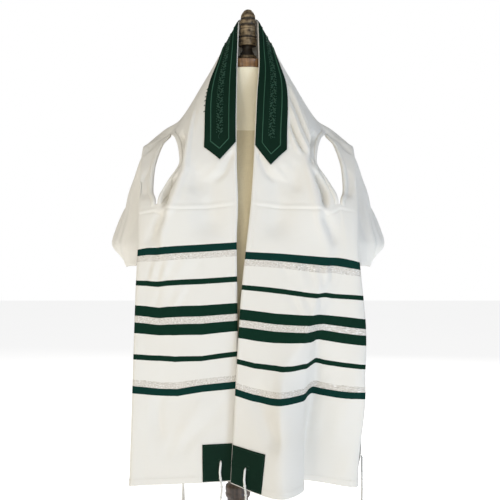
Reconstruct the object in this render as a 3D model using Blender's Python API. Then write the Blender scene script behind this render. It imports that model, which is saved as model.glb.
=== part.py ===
"""Tallit prayer shawl, worn open on a limbless dress form.

Metres, +Z up, the wearer's front towards -Y. The origin is the middle of the
stand's underside. "Left" and "right" are the viewer's, seen from the front.

The shawl is one cloth, 0.50 m by 2.10 m. A point of it has two cloth
coordinates: s, the distance along the long neck edge from the middle of the
back down to a hem, and a place across it, from the neck edge to the outer edge.
Guide lines that run along the cloth carry its drape, every rib between them is
a smooth curve, and pleats and pockets are soft troughs and ridges on top.
"""
import math
from bisect import bisect_right
from typing import NamedTuple

import bmesh
import bpy
from mathutils import Vector

# ---- driving sizes -------------------------------------------------------
CLOTH = 0.0016          # wall of the shawl
GAP = 0.0004            # clearance between pieces that touch
SEAM = 0.0009           # clearance where two stretches of the shawl meet
TRIM = 0.0012           # wall of the neckband and the corner patches

SEAM_S = 0.05           # s of the shoulder line, where back and front meet
HEM_S = 1.05
ARM_TOP_S = 0.11        # ends of the arm opening along the cloth
ARM_FOOT_S = 0.48

BAND_REACH = 0.070      # from the neck edge to the neckband's outer side
TRIM_INSET = 0.045      # bare neck edge beside it, as a share of that reach
BAND_FOOT_S = 0.355     # where its straight sides end
BAND_POINT = 0.026      # how far its point reaches below them

PATCH_REACH = 0.0765    # from the neck edge to an inner corner patch's far side
PATCH_WIDTH = 0.071
PATCH_HEIGHT = 0.076
PATCH_HEM = 0.002       # bare hem below it
EYELET_IN = 0.039       # eyelet's distance from the long edge
EYELET_UP = 0.043       # and from the hem

FORM_TOP_Z = 1.5285     # top of the finial
FORM_LEAN = 0.022 / 1.03    # sideways lean of the stand, metres per metre

STRAND_LENGTH = 0.20


class Pleat(NamedTuple):
    """A soft trough (negative depth) or ridge between two places of a front.

    Each place is (metres out from the neck edge, metres down from the neck).
    """
    out_from: float
    down_from: float
    out_to: float
    down_to: float
    depth: float
    width: float


class Knot(NamedTuple):
    """One control point of a guide line: s along the cloth, and its place."""
    s: float
    x: float
    y: float
    z: float


# ---- guide lines of the left front, from the neck edge outwards ----------
LEFT_LINES = {
    "edge": [
        Knot(0.05, -0.0205, 0.000, 1.502), Knot(0.11, -0.0215, -0.032, 1.453),
        Knot(0.17, -0.0228, -0.055, 1.395), Knot(0.24, -0.0236, -0.082, 1.330),
        Knot(0.31, -0.0243, -0.101, 1.265), Knot(0.40, -0.0232, -0.118, 1.175),
        Knot(0.48, -0.0208, -0.126, 1.095), Knot(0.56, -0.0232, -0.128, 1.015),
        Knot(1.05, -0.0164, -0.128, 0.527)],
    "band": [
        Knot(0.05, -0.0640, 0.000, 1.425), Knot(0.11, -0.0760, -0.034, 1.388),
        Knot(0.17, -0.0900, -0.058, 1.350), Knot(0.24, -0.0960, -0.082, 1.303),
        Knot(0.31, -0.0970, -0.101, 1.240), Knot(0.40, -0.0950, -0.118, 1.161),
        Knot(0.48, -0.0925, -0.128, 1.092), Knot(0.56, -0.0920, -0.130, 1.014),
        Knot(1.05, -0.0750, -0.130, 0.524)],
    "ridge": [
        Knot(0.05, -0.1005, 0.004, 1.364), Knot(0.11, -0.1125, -0.032, 1.329),
        Knot(0.17, -0.1240, -0.062, 1.286), Knot(0.24, -0.1285, -0.086, 1.245),
        Knot(0.31, -0.1315, -0.104, 1.205), Knot(0.40, -0.1390, -0.119, 1.149),
        Knot(0.48, -0.1500, -0.128, 1.092), Knot(0.56, -0.1640, -0.130, 1.012),
        Knot(0.65, -0.1620, -0.128, 0.922), Knot(1.05, -0.1280, -0.127, 0.521)],
    "arm_front": [
        Knot(0.05, -0.1510, 0.014, 1.288), Knot(0.11, -0.1620, -0.021, 1.2530),
        Knot(0.17, -0.1540, -0.050, 1.238), Knot(0.24, -0.1450, -0.074, 1.211),
        Knot(0.31, -0.1435, -0.090, 1.178), Knot(0.40, -0.1690, -0.104, 1.137),
        Knot(0.48, -0.1870, -0.113, 1.096), Knot(0.56, -0.1880, -0.122, 1.009),
        Knot(1.05, -0.1700, -0.123, 0.518)],
    "arm_back": [
        Knot(0.05, -0.1845, 0.016, 1.273), Knot(0.11, -0.1685, -0.018, 1.2500),
        Knot(0.17, -0.1835, -0.036, 1.229), Knot(0.24, -0.1945, -0.053, 1.199),
        Knot(0.31, -0.2012, -0.068, 1.168), Knot(0.40, -0.2010, -0.090, 1.124),
        Knot(0.48, -0.1925, -0.111, 1.094), Knot(0.56, -0.2065, -0.117, 1.007),
        Knot(1.05, -0.2100, -0.121, 0.516)],
    "crease": [
        Knot(0.05, -0.2275, 0.016, 1.2305), Knot(0.11, -0.2280, -0.012, 1.2250),
        Knot(0.17, -0.2295, -0.032, 1.203), Knot(0.24, -0.2295, -0.050, 1.180),
        Knot(0.31, -0.2285, -0.066, 1.155), Knot(0.40, -0.2272, -0.084, 1.120),
        Knot(0.48, -0.2275, -0.098, 1.077), Knot(0.56, -0.2287, -0.105, 1.002),
        Knot(0.65, -0.2325, -0.110, 0.915), Knot(1.05, -0.2444, -0.118, 0.514)],
    "side": [
        Knot(0.05, -0.2245, 0.023, 1.2305), Knot(0.17, -0.2265, -0.025, 1.203),
        Knot(0.31, -0.2255, -0.059, 1.155), Knot(0.48, -0.2240, -0.090, 1.077),
        Knot(0.56, -0.2170, -0.070, 1.002), Knot(0.60, -0.2120, -0.045, 0.962),
        Knot(0.68, -0.2110, -0.010, 0.884), Knot(1.05, -0.2150, -0.004, 0.514)],
    "outer": [
        Knot(0.05, -0.2205, 0.029, 1.2305), Knot(0.17, -0.2225, -0.019, 1.203),
        Knot(0.31, -0.2215, -0.053, 1.155), Knot(0.48, -0.2195, -0.084, 1.077),
        Knot(0.56, -0.2060, -0.025, 1.002), Knot(0.60, -0.1880, 0.035, 0.962),
        Knot(0.68, -0.1480, 0.092, 0.884), Knot(0.76, -0.1220, 0.110, 0.805),
        Knot(1.05, -0.1200, 0.112, 0.515)],
}

# ---- the right front differs at the neck edge and below the waist ---------
RIGHT_EDGE = [
    Knot(0.05, 0.0205, 0.000, 1.502), Knot(0.11, 0.0215, -0.032, 1.453),
    Knot(0.17, 0.0225, -0.055, 1.395), Knot(0.24, 0.0180, -0.082, 1.330),
    Knot(0.31, 0.0152, -0.101, 1.265), Knot(0.40, 0.0110, -0.118, 1.175),
    Knot(0.48, 0.0055, -0.127, 1.095), Knot(0.56, -0.0030, -0.133, 1.015),
    Knot(0.65, -0.0125, -0.136, 0.926), Knot(0.74, -0.0190, -0.138, 0.836),
    Knot(1.05, -0.0355, -0.142, 0.526)]
RIGHT_BAND = [
    Knot(0.05, 0.0640, 0.000, 1.425), Knot(0.11, 0.0760, -0.034, 1.388),
    Knot(0.17, 0.0860, -0.058, 1.350), Knot(0.24, 0.0840, -0.083, 1.303),
    Knot(0.31, 0.0820, -0.102, 1.240), Knot(0.40, 0.0800, -0.119, 1.161),
    Knot(0.48, 0.0775, -0.129, 1.092), Knot(0.56, 0.0700, -0.134, 1.012),
    Knot(0.65, 0.0560, -0.139, 0.922), Knot(0.74, 0.0420, -0.145, 0.831),
    Knot(1.05, 0.0200, -0.180, 0.514)]
LOWER_RIGHT = {
    "ridge": [
        Knot(0.56, 0.1640, -0.130, 1.008), Knot(0.65, 0.1400, -0.138, 0.912),
        Knot(0.75, 0.1115, -0.150, 0.818), Knot(0.80, 0.0780, -0.160, 0.762),
        Knot(0.87, 0.0680, -0.175, 0.696), Knot(1.05, 0.0700, -0.205, 0.510)],
    "arm_front": [
        Knot(0.56, 0.1880, -0.120, 1.008), Knot(0.65, 0.1600, -0.127, 0.914),
        Knot(0.75, 0.1290, -0.136, 0.820), Knot(0.87, 0.1120, -0.142, 0.700),
        Knot(1.05, 0.1105, -0.165, 0.516)],
    "arm_back": [
        Knot(0.56, 0.2065, -0.117, 1.007), Knot(0.65, 0.1800, -0.118, 0.912),
        Knot(0.75, 0.1490, -0.115, 0.818), Knot(0.87, 0.1330, -0.098, 0.700),
        Knot(1.05, 0.1130, -0.090, 0.518)],
    "crease": [
        Knot(0.56, 0.2287, -0.105, 1.002), Knot(0.65, 0.2375, -0.102, 0.912),
        Knot(0.75, 0.2430, -0.100, 0.808), Knot(0.87, 0.2420, -0.100, 0.691),
        Knot(0.98, 0.2295, -0.090, 0.575), Knot(1.05, 0.2250, -0.086, 0.502)],
    "side": [
        Knot(0.56, 0.2170, -0.070, 1.002), Knot(0.65, 0.2240, -0.048, 0.912),
        Knot(0.75, 0.2310, -0.036, 0.808), Knot(0.87, 0.2380, -0.036, 0.691),
        Knot(0.98, 0.2385, -0.037, 0.575), Knot(1.05, 0.2320, -0.038, 0.503)],
    "outer": [
        Knot(0.56, 0.2060, -0.025, 1.002), Knot(0.65, 0.2060, 0.030, 0.912),
        Knot(0.75, 0.2160, 0.046, 0.808), Knot(0.87, 0.2380, 0.044, 0.691),
        Knot(0.98, 0.2520, 0.040, 0.576), Knot(1.05, 0.2430, 0.036, 0.505)],
}

# ---- folds that are narrower than the guide lines show ---------------------
BAND_EASE = 0.012       # pleats start this far beyond the neckband
ARM_POCKETS = [Pleat(0.122, 0.385, 0.157, 0.485, -0.0075, 0.0075)]
SHOULDER_PLEATS = [
    Pleat(0.084, 0.138, 0.155, 0.220, -0.0055, 0.0060),
    Pleat(0.080, 0.165, 0.145, 0.255, 0.0045, 0.0055),
    Pleat(0.072, 0.185, 0.138, 0.282, -0.0055, 0.0055),
    Pleat(0.074, 0.230, 0.122, 0.315, 0.0040, 0.0055),
    Pleat(0.072, 0.266, 0.108, 0.330, -0.0050, 0.0055),
    Pleat(0.074, 0.290, 0.096, 0.340, 0.0030, 0.0055),
]

# ---- the back, from its middle to the left shoulder line ------------------
BACK_LINES = {
    "edge": [
        Knot(0.0, 0.000, 0.030, 1.519), Knot(0.025, -0.0150, 0.023, 1.514),
        Knot(0.05, -0.0205, 0.000, 1.502)],
    "band": [
        Knot(0.0, 0.000, 0.056, 1.437), Knot(0.025, -0.0430, 0.042, 1.434),
        Knot(0.05, -0.0640, 0.000, 1.425)],
    "blade": [
        Knot(0.0, 0.000, 0.102, 1.290), Knot(0.025, -0.0800, 0.078, 1.320),
        Knot(0.05, -0.1005, 0.004, 1.364)],
    "hem": [
        Knot(0.0, 0.000, 0.124, 1.030), Knot(0.008, -0.0720, 0.121, 1.031),
        Knot(0.018, -0.1300, 0.113, 1.042), Knot(0.026, -0.1500, 0.103, 1.085),
        Knot(0.038, -0.1525, 0.068, 1.215), Knot(0.05, -0.1510, 0.014, 1.288)],
}


class WingRow(NamedTuple):
    """One level of the cloth that falls outside the arm, at its three folds."""
    z: float
    front_x: float
    front_y: float
    outer_x: float
    outer_y: float
    rear_x: float
    rear_y: float


WING_ROWS = [
    WingRow(1.226, 0.2060, -0.006, 0.2120, 0.003, 0.2060, 0.012),
    WingRow(1.217, 0.2090, -0.008, 0.2190, 0.003, 0.2120, 0.016),
    WingRow(1.205, 0.2120, -0.012, 0.2335, 0.001, 0.2230, 0.024),
    WingRow(1.150, 0.2125, -0.036, 0.2520, -0.004, 0.2390, 0.042),
    WingRow(1.090, 0.2150, -0.062, 0.2710, -0.006, 0.2530, 0.058),
    WingRow(1.045, 0.2240, -0.074, 0.2855, -0.009, 0.2640, 0.067),
    WingRow(1.019, 0.2310, -0.078, 0.2935, -0.010, 0.2680, 0.069),
    WingRow(1.006, 0.2320, -0.078, 0.2920, -0.011, 0.2670, 0.068),
    WingRow(0.985, 0.2340, -0.076, 0.2765, -0.012, 0.2600, 0.064),
    WingRow(0.966, 0.2370, -0.072, 0.2630, -0.012, 0.2520, 0.058),
]


class Ring(NamedTuple):
    """One level of the form: height, half width, half depth and set-back."""
    z: float
    half_x: float
    half_y: float
    centre_y: float = 0.0


TORSO_RINGS = [
    Ring(0.560, 0.090, 0.060), Ring(0.563, 0.128, 0.086), Ring(0.580, 0.148, 0.103),
    Ring(0.660, 0.156, 0.112), Ring(0.760, 0.145, 0.111), Ring(0.880, 0.126, 0.108),
    Ring(0.980, 0.130, 0.108), Ring(1.080, 0.140, 0.108, -0.002),
    Ring(1.140, 0.143, 0.104), Ring(1.200, 0.144, 0.091, 0.004),
    Ring(1.240, 0.149, 0.078, 0.006), Ring(1.262, 0.142, 0.070, 0.006),
    Ring(1.282, 0.112, 0.062, 0.004), Ring(1.305, 0.080, 0.056, 0.002),
    Ring(1.335, 0.060, 0.052), Ring(1.365, 0.055, 0.050), Ring(1.3926, 0.055, 0.050),
]
POST_RINGS = [
    Ring(0.0314, 0.034, 0.034), Ring(0.060, 0.030, 0.030), Ring(0.080, 0.023, 0.023),
    Ring(0.300, 0.021, 0.021), Ring(0.455, 0.023, 0.023), Ring(0.468, 0.027, 0.027),
    Ring(0.484, 0.0275, 0.0275), Ring(0.492, 0.023, 0.023), Ring(0.500, 0.0245, 0.0245),
    Ring(0.507, 0.021, 0.021), Ring(0.5596, 0.021, 0.021),
]
BASE_RINGS = [
    Ring(0.0, 0.2025, 0.2025), Ring(0.004, 0.2070, 0.2070), Ring(0.020, 0.2070, 0.2070),
    Ring(0.027, 0.199, 0.199), Ring(0.031, 0.185, 0.185),
]
CAP_RINGS = [
    Ring(1.3930, 0.046, 0.043), Ring(1.3960, 0.049, 0.046), Ring(1.4108, 0.048, 0.045),
    Ring(1.4131, 0.044, 0.042),
]
FINIAL_RINGS = [
    Ring(1.4135, 0.0200, 0.0200), Ring(1.4220, 0.0206, 0.0206), Ring(1.4252, 0.0198, 0.0198),
    Ring(1.4272, 0.0162, 0.0162), Ring(1.4325, 0.0150, 0.0150), Ring(1.4360, 0.0112, 0.0112),
    Ring(1.4462, 0.0112, 0.0112), Ring(1.4480, 0.0192, 0.0192), Ring(1.4530, 0.0204, 0.0204),
    Ring(1.4630, 0.0204, 0.0204), Ring(1.4658, 0.0186, 0.0186), Ring(1.4672, 0.0196, 0.0196),
    Ring(1.4702, 0.0196, 0.0196), Ring(1.4718, 0.0170, 0.0170), Ring(1.4925, 0.0173, 0.0173),
    Ring(1.4946, 0.0158, 0.0158), Ring(1.4966, 0.0166, 0.0166), Ring(1.5070, 0.0164, 0.0164),
    Ring(1.5180, 0.0138, 0.0138), Ring(FORM_TOP_Z, 0.0080, 0.0080),
]

# Knotted part of a corner fringe: drop below the eyelet and half thickness.
FRINGE_CORD = [(0.000, 0.0020), (0.028, 0.0020), (0.036, 0.0038), (0.043, 0.0022),
               (0.062, 0.0036), (0.069, 0.0022), (0.088, 0.0036), (0.096, 0.0030)]
KNOT_HALF = 0.0038
STRAND_STEPS = 5
STRAND_GAP_SHARE = 0.10     # of a strand's width, left between strands
STRAND_SPREAD = 0.0012
STRAND_SWAY = 0.0012

# ---- grid of the sheets --------------------------------------------------
UPPER_ROWS = [0.05, 0.065, 0.08, 0.095, 0.11]
SHOULDER_ROWS = [0.14, 0.17, 0.205, 0.24, 0.275, 0.31]
PLEATED_ROWS = [0.11 + 0.0125 * k for k in range(1, 18)]
LOWER_ROWS = [0.335, 0.355, 0.38, 0.40, 0.42, 0.44, 0.46, 0.48, 0.52, 0.56, 0.60, 0.65,
              0.70, 0.75, 0.80, 0.85, 0.90, 0.95, 1.00, HEM_S]
LEFT_CELLS = [4, 3, 4, 2, 2, 4, 4]       # cells between neighbouring guide lines
RIGHT_CELLS = [4, 7, 4, 2, 2, 4, 4]
ARM_SPAN = 3                             # the span that the arm opening takes
BACK_SEGMENTS = 8
BACK_CELLS = [4, 5, 6]
ROUND_SIDES = 28


# ---- curves --------------------------------------------------------------
def smooth_value(knots, values, at):
    """Value of a smooth curve through uneven knots, straight past its ends."""
    last = len(knots) - 1
    i = min(max(bisect_right(knots, at) - 1, 0), last - 1)
    span = knots[i + 1] - knots[i]

    def slope(k):
        low, high = max(k - 1, 0), min(k + 1, last)
        return (values[high] - values[low]) / (knots[high] - knots[low])

    u = min(max((at - knots[i]) / span, 0.0), 1.0)
    a = 2 * u ** 3 - 3 * u ** 2 + 1
    b = u ** 3 - 2 * u ** 2 + u
    c = -2 * u ** 3 + 3 * u ** 2
    d = u ** 3 - u ** 2
    return values[i] * a + slope(i) * span * b + values[i + 1] * c + slope(i + 1) * span * d


def line_point(line, s):
    """Point of a guide line at s."""
    knots = [k.s for k in line]
    return Vector([smooth_value(knots, [k[axis] for k in line], s) for axis in (1, 2, 3)])


def trim_reach(s):
    """Distance of the second guide line from the neck edge, as wide as what lies there."""
    share = min(max((s - BAND_FOOT_S - BAND_POINT) / (HEM_S - PATCH_HEIGHT - BAND_FOOT_S), 0.0), 1.0)
    return BAND_REACH + (PATCH_REACH - BAND_REACH) * share


def rib_point(lines, s, t):
    """Point of the rib at s, where t counts guide lines from the neck edge."""
    points = [line_point(line, s) for line in lines]
    points[1] = points[0] + (points[1] - points[0]).normalized() * trim_reach(s)
    reach = [0.0]
    for a, b in zip(points, points[1:]):
        reach.append(reach[-1] + max((b - a).length, 1e-6))
    i = min(int(t), len(points) - 2)
    at = reach[i] + (t - i) * (reach[i + 1] - reach[i])
    return Vector([smooth_value(reach, [p[axis] for p in points], at) for axis in range(3)])


def mirrored(line):
    """The same guide line on the other side."""
    return [Knot(k.s, -k.x, k.y, k.z) for k in line]


def front_lines(side):
    """Guide lines of a front: side is -1 for the left one and +1 for the right."""
    if side < 0:
        return list(LEFT_LINES.values())
    lines = {name: mirrored(line) for name, line in LEFT_LINES.items()}
    lines["edge"], lines["band"] = RIGHT_EDGE, RIGHT_BAND
    for name, lower in LOWER_RIGHT.items():
        lines[name] = [k for k in lines[name] if k.s < lower[0].s] + lower
    return list(lines.values())


def back_point(s, t):
    """Point of the back at s, negative on the left, and t guide lines down it."""
    if abs(s) >= SEAM_S:
        p = rib_point(list(LEFT_LINES.values()), SEAM_S, t)
        p.y += SEAM
    else:
        p = rib_point(list(BACK_LINES.values()), abs(s), t)
    if s > 0:
        p.x = -p.x
    return p


def smoothstep(low, high, value):
    """Zero below low, one above high, and a soft step between."""
    u = min(max((value - low) / (high - low), 0.0), 1.0)
    return u * u * (3 - 2 * u)


def pleat_height(pleats, out, down):
    """Height of the pleats at a place of a front."""
    height = 0.0
    for p in pleats:
        run = Vector((p.out_to - p.out_from, p.down_to - p.down_from))
        place = Vector((out - p.out_from, down - p.down_from))
        share = place.dot(run) / run.length_squared
        off = place.cross(run) / run.length
        ends = smoothstep(-0.15, 0.2, share) * (1 - smoothstep(0.8, 1.15, share))
        height += p.depth * math.exp(-(off / p.width) ** 2) * ends
    return height * smoothstep(BAND_REACH, BAND_REACH + BAND_EASE, out)


class Front:
    """One front of the shawl as a grid of points, rows down the cloth."""

    def __init__(self, side):
        """side is -1 for the left front and +1 for the right one."""
        self.side = side
        self.rows = UPPER_ROWS + (SHOULDER_ROWS if side < 0 else PLEATED_ROWS) + LOWER_ROWS
        self.columns = columns_between_lines(LEFT_CELLS if side < 0 else RIGHT_CELLS)
        lines = front_lines(side)
        self.points = [[rib_point(lines, s, t) for t in self.columns] for s in self.rows]
        self.pleat(ARM_POCKETS if side < 0 else ARM_POCKETS + SHOULDER_PLEATS)

    def pleat(self, pleats):
        """Raise and sink the cloth along its pleats."""
        lifts = []
        for s, t_row in zip(self.rows, self.points):
            out = 0.0
            for j, t in enumerate(self.columns):
                out += (t_row[j] - t_row[j - 1]).length if j else 0.0
                lifts.append(self.normal(s, t) * pleat_height(pleats, out, s))
        flat = iter(lifts)
        self.points = [[p + next(flat) for p in row] for row in self.points]

    def at(self, s, t):
        """Point of the faceted sheet at s and t."""
        i = min(bisect_right(self.rows, s) - 1, len(self.rows) - 2)
        j = min(bisect_right(self.columns, t) - 1, len(self.columns) - 2)
        u = (s - self.rows[i]) / (self.rows[i + 1] - self.rows[i])
        v = (t - self.columns[j]) / (self.columns[j + 1] - self.columns[j])
        upper = self.points[i][j].lerp(self.points[i][j + 1], v)
        lower = self.points[i + 1][j].lerp(self.points[i + 1][j + 1], v)
        return upper.lerp(lower, u)

    def normal(self, s, t, step=0.004):
        """Direction that the outer side of the cloth faces at s and t."""
        low, high = max(s - step, SEAM_S), min(s + step, HEM_S)
        inner, outer = max(t - 0.05, 0.0), min(t + 0.05, self.columns[-1])
        along = self.at(high, t) - self.at(low, t)
        over = self.at(s, outer) - self.at(s, inner)
        return (along.cross(over) * self.side).normalized()

    def laid(self, cells, distance):
        """Points at rows of (s, t) places, moved out from the cloth."""
        return [[self.at(s, t) + self.normal(s, t) * distance for s, t in row] for row in cells]

    def place_from_outer(self, distance):
        """t at the hem, a given distance in from the outer edge."""
        row, walked = self.points[-1], 0.0
        for j in range(len(row) - 1, 0, -1):
            step = (row[j] - row[j - 1]).length
            if walked + step >= distance:
                share = (distance - walked) / step
                return self.columns[j] + (self.columns[j - 1] - self.columns[j]) * share
            walked += step
        return 0.0


def columns_between_lines(cells):
    """Places across a rib, in guide lines, with some cells in every span."""
    places = [span + k / count for span, count in enumerate(cells) for k in range(count)]
    return places + [float(len(cells))]


def within(places, start, end):
    """The start, the listed places between, and the end."""
    return [start] + [p for p in places if start < p < end] + [end]


# ---- meshes --------------------------------------------------------------
def material(name, colour, roughness, metallic=0.0):
    """A Principled material."""
    made = bpy.data.materials.new(name)
    made.use_nodes = True
    shader = made.node_tree.nodes["Principled BSDF"]
    shader.inputs["Base Color"].default_value = (*colour, 1.0)
    shader.inputs["Roughness"].default_value = roughness
    shader.inputs["Metallic"].default_value = metallic
    return made


def add_object(name, bm, finish, smooth=True):
    """An object from a bmesh, with its normals made to point outwards."""
    mesh = bpy.data.meshes.new(name)
    bm.to_mesh(mesh)
    bm.free()
    made = bpy.data.objects.new(name, mesh)
    bpy.context.collection.objects.link(made)
    mesh.materials.append(finish)
    if smooth:
        mesh.shade_smooth()
    return made


def grid_bmesh(points, is_open=lambda row, column: False):
    """A sheet from rows of points, with some of its cells left open.

    Each cell is parted along its shorter diagonal, so that a trim and the cloth
    under it fold alike.
    """
    bm = bmesh.new()
    verts = [[bm.verts.new(p) for p in row] for row in points]
    for i in range(len(points) - 1):
        for j in range(len(points[0]) - 1):
            if is_open(i, j):
                continue
            a, b, c, d = verts[i][j], verts[i][j + 1], verts[i + 1][j + 1], verts[i + 1][j]
            if (a.co - c.co).length > (b.co - d.co).length:
                a, b, c, d = b, c, d, a
            bm.faces.new((a, b, c))
            bm.faces.new((a, c, d))
    loose = [v for v in bm.verts if not v.link_faces]
    bmesh.ops.delete(bm, geom=loose, context="VERTS")
    return bm


def add_sheet(name, points, wall, finish, is_open=lambda row, column: False):
    """A cloth wall, centred on rows of points."""
    made = add_object(name, grid_bmesh(points, is_open), finish)
    solid = made.modifiers.new("wall", "SOLIDIFY")
    solid.thickness = wall
    solid.offset = 0.0
    return made


def loft_bmesh(rings):
    """A closed solid through rings of the same number of points, low to high."""
    bm = bmesh.new()
    loops = [[bm.verts.new(p) for p in ring] for ring in rings]
    count = len(loops[0])
    for low, high in zip(loops, loops[1:]):
        for k in range(count):
            m = (k + 1) % count
            bm.faces.new((low[k], low[m], high[m], high[k]))
    bm.faces.new(list(reversed(loops[0])))
    bm.faces.new(loops[-1])
    return bm


def lean_x(z):
    """Sideways place of the stand's axis at a height."""
    return -FORM_LEAN * (FORM_TOP_Z - z)


def add_turned(name, rings, finish, sides=ROUND_SIDES, lean=True):
    """A turned or moulded piece of the form, around its leaning axis."""
    loops = []
    for ring in rings:
        loops.append([
            Vector((ring.half_x * math.cos(math.tau * k / sides)
                    + (lean_x(ring.z) if lean else lean_x(0.0)),
                    ring.centre_y + ring.half_y * math.sin(math.tau * k / sides), ring.z))
            for k in range(sides)])
    made = add_object(name, loft_bmesh(loops), finish)
    made.data.set_sharp_from_angle(angle=math.radians(40))
    return made


# ---- pieces --------------------------------------------------------------
def add_front(name, front, finish):
    """One front of the shawl, with its arm opening, from shoulder line to hem."""

    def is_open(row, column):
        in_span = ARM_SPAN <= front.columns[column] < ARM_SPAN + 1
        return in_span and ARM_TOP_S <= front.rows[row] < ARM_FOOT_S

    return add_sheet(name, front.points, CLOTH, finish, is_open)


def back_rows():
    """Places of the back's ribs along the cloth, left to right."""
    return [SEAM_S * k / BACK_SEGMENTS for k in range(-BACK_SEGMENTS, BACK_SEGMENTS + 1)]


def add_back(finish):
    """The stretch behind the neck and shoulders."""
    columns = columns_between_lines(BACK_CELLS)
    points = [[back_point(s, t) for t in columns] for s in back_rows()]
    return add_sheet("shawl_back", points, CLOTH, finish)


def add_wing(name, side, finish, levels=9, places=8):
    """The stretch that falls from a shoulder end, outside the arm."""
    heights = [row.z for row in reversed(WING_ROWS)]
    grid = []
    for i in range(levels + 1):
        z = WING_ROWS[0].z + (WING_ROWS[-1].z - WING_ROWS[0].z) * i / levels
        values = [smooth_value(heights, [row[k] for row in reversed(WING_ROWS)], z)
                  for k in range(1, 7)]
        folds = [Vector((side * values[2 * k], values[2 * k + 1], z)) for k in range(3)]
        row = []
        for j in range(places + 1):
            at = 2.0 * j / places
            row.append(Vector([smooth_value([0, 1, 2], [p[axis] for p in folds], at)
                               for axis in range(3)]))
        grid.append(row)
    return add_sheet(name, grid, CLOTH, finish)


def band_half(front, distance):
    """One side of the neckband, from its point up to the shoulder line."""
    columns = within(front.columns, TRIM_INSET, 1.0)
    rows = [[(s, t) for t in columns] for s in within(front.rows, SEAM_S, BAND_FOOT_S)]
    rows.append([(BAND_FOOT_S + BAND_POINT * (1 - abs(2 * t - 1)) + 0.001, t) for t in columns])
    return list(reversed(front.laid(rows, distance)))


def band_middle(distance):
    """The neckband behind the neck, on the ribs of the back."""
    columns = within(columns_between_lines(BACK_CELLS), TRIM_INSET, 1.0)
    rows = []
    for s in back_rows()[1:-1]:
        row = []
        for t in columns:
            point = back_point(s, t)
            along = back_point(s + 0.003, t) - back_point(s - 0.003, t)
            over = back_point(s, t + 0.02) - back_point(s, max(t - 0.02, 0.0))
            row.append(point + along.cross(over).normalized() * distance)
        rows.append(row)
    return rows


def add_neckband(left, right, finish):
    """The neckband, one strip from point to point round the back of the neck."""
    distance = CLOTH / 2 + 2 * GAP + TRIM / 2
    points = band_half(left, distance) + band_middle(distance)
    points += reversed(band_half(right, distance))
    return add_sheet("neckband", points, TRIM, finish)


def patch_columns(front, corner):
    """Places of a corner patch across its front."""
    if corner == "inner":
        return within(front.columns, 2 * TRIM_INSET, 1.0)
    start = front.place_from_outer(PATCH_REACH)
    end = front.place_from_outer(PATCH_REACH - PATCH_WIDTH)
    return within(front.columns, start, end)


def add_patch(name, front, corner, finish):
    """A corner patch, laid on its front."""
    foot = HEM_S - PATCH_HEM
    rows = [[(s, t) for t in patch_columns(front, corner)]
            for s in within(front.rows, foot - PATCH_HEIGHT, foot)]
    return add_sheet(name, front.laid(rows, CLOTH / 2 + GAP + TRIM / 2), TRIM, finish)


def fringe_root(front, corner):
    """Where a corner fringe hangs: just off its patch, at the eyelet."""
    t = EYELET_IN / PATCH_REACH if corner == "inner" else front.place_from_outer(EYELET_IN)
    point = front.at(HEM_S - EYELET_UP, t)
    normal = front.normal(HEM_S - EYELET_UP, t)
    normal = Vector((normal.x, normal.y, 0.0)).normalized()
    flare = max((front.at(HEM_S, t) - point).dot(normal), 0.0)
    return point + normal * (flare + CLOTH / 2 + 3 * GAP + TRIM + KNOT_HALF), normal


def fringe_cord(root_z):
    """The knotted part of a fringe round x = y = 0, and the faces at its foot."""
    bm = bmesh.new()
    foot_drop, foot_half = FRINGE_CORD[-1]
    bmesh.ops.create_grid(bm, x_segments=3, y_segments=3, size=foot_half)
    feet = [f for f in bm.faces if f.calc_center_median().length > foot_half / 3]
    for v in bm.verts:
        v.co.z = root_z - foot_drop
    ring = [e for e in bm.edges if e.is_boundary]
    for drop, half in reversed(FRINGE_CORD[:-1]):
        made = bmesh.ops.extrude_edge_only(bm, edges=ring)["geom"]
        moved = [g for g in made if isinstance(g, bmesh.types.BMVert)]
        size = max(max(abs(v.co.x), abs(v.co.y)) for v in moved)
        for v in moved:
            v.co = Vector((v.co.x * half / size, v.co.y * half / size, root_z - drop))
        ring = [g for g in made if isinstance(g, bmesh.types.BMEdge)]
    bmesh.ops.contextual_create(bm, geom=ring)
    return bm, feet


def draw_strand(bm, face, order):
    """Draw one strand of a fringe down from a face of the cord's foot."""
    heading = face.calc_center_median()
    heading.z = 0.0
    heading.normalize()
    width = FRINGE_CORD[-1][1] * 2 / 3
    bmesh.ops.inset_individual(bm, faces=[face], thickness=width * STRAND_GAP_SHARE)
    for k in range(STRAND_STEPS):
        face = bmesh.ops.extrude_discrete_faces(bm, faces=[face])["faces"][0]
        sway = math.sin(1.7 * order + 1.9 * k) * STRAND_SWAY
        down = Vector((0, 0, -STRAND_LENGTH / STRAND_STEPS))
        bmesh.ops.translate(bm, verts=face.verts, vec=heading * (STRAND_SPREAD + sway) + down)


def add_fringe(name, front, corner, finish):
    """A corner fringe: a knotted cord whose foot opens into eight strands."""
    root, normal = fringe_root(front, corner)
    tangent = normal.cross(Vector((0, 0, 1))).normalized()
    bm, feet = fringe_cord(root.z)
    for order, face in enumerate(feet):
        draw_strand(bm, face, order)
    for v in bm.verts:
        across = tangent * v.co.x + normal * v.co.y
        v.co = Vector((root.x + across.x, root.y + across.y, v.co.z))
    bmesh.ops.recalc_face_normals(bm, faces=bm.faces)
    return add_object(name, bm, finish, smooth=False)


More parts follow.
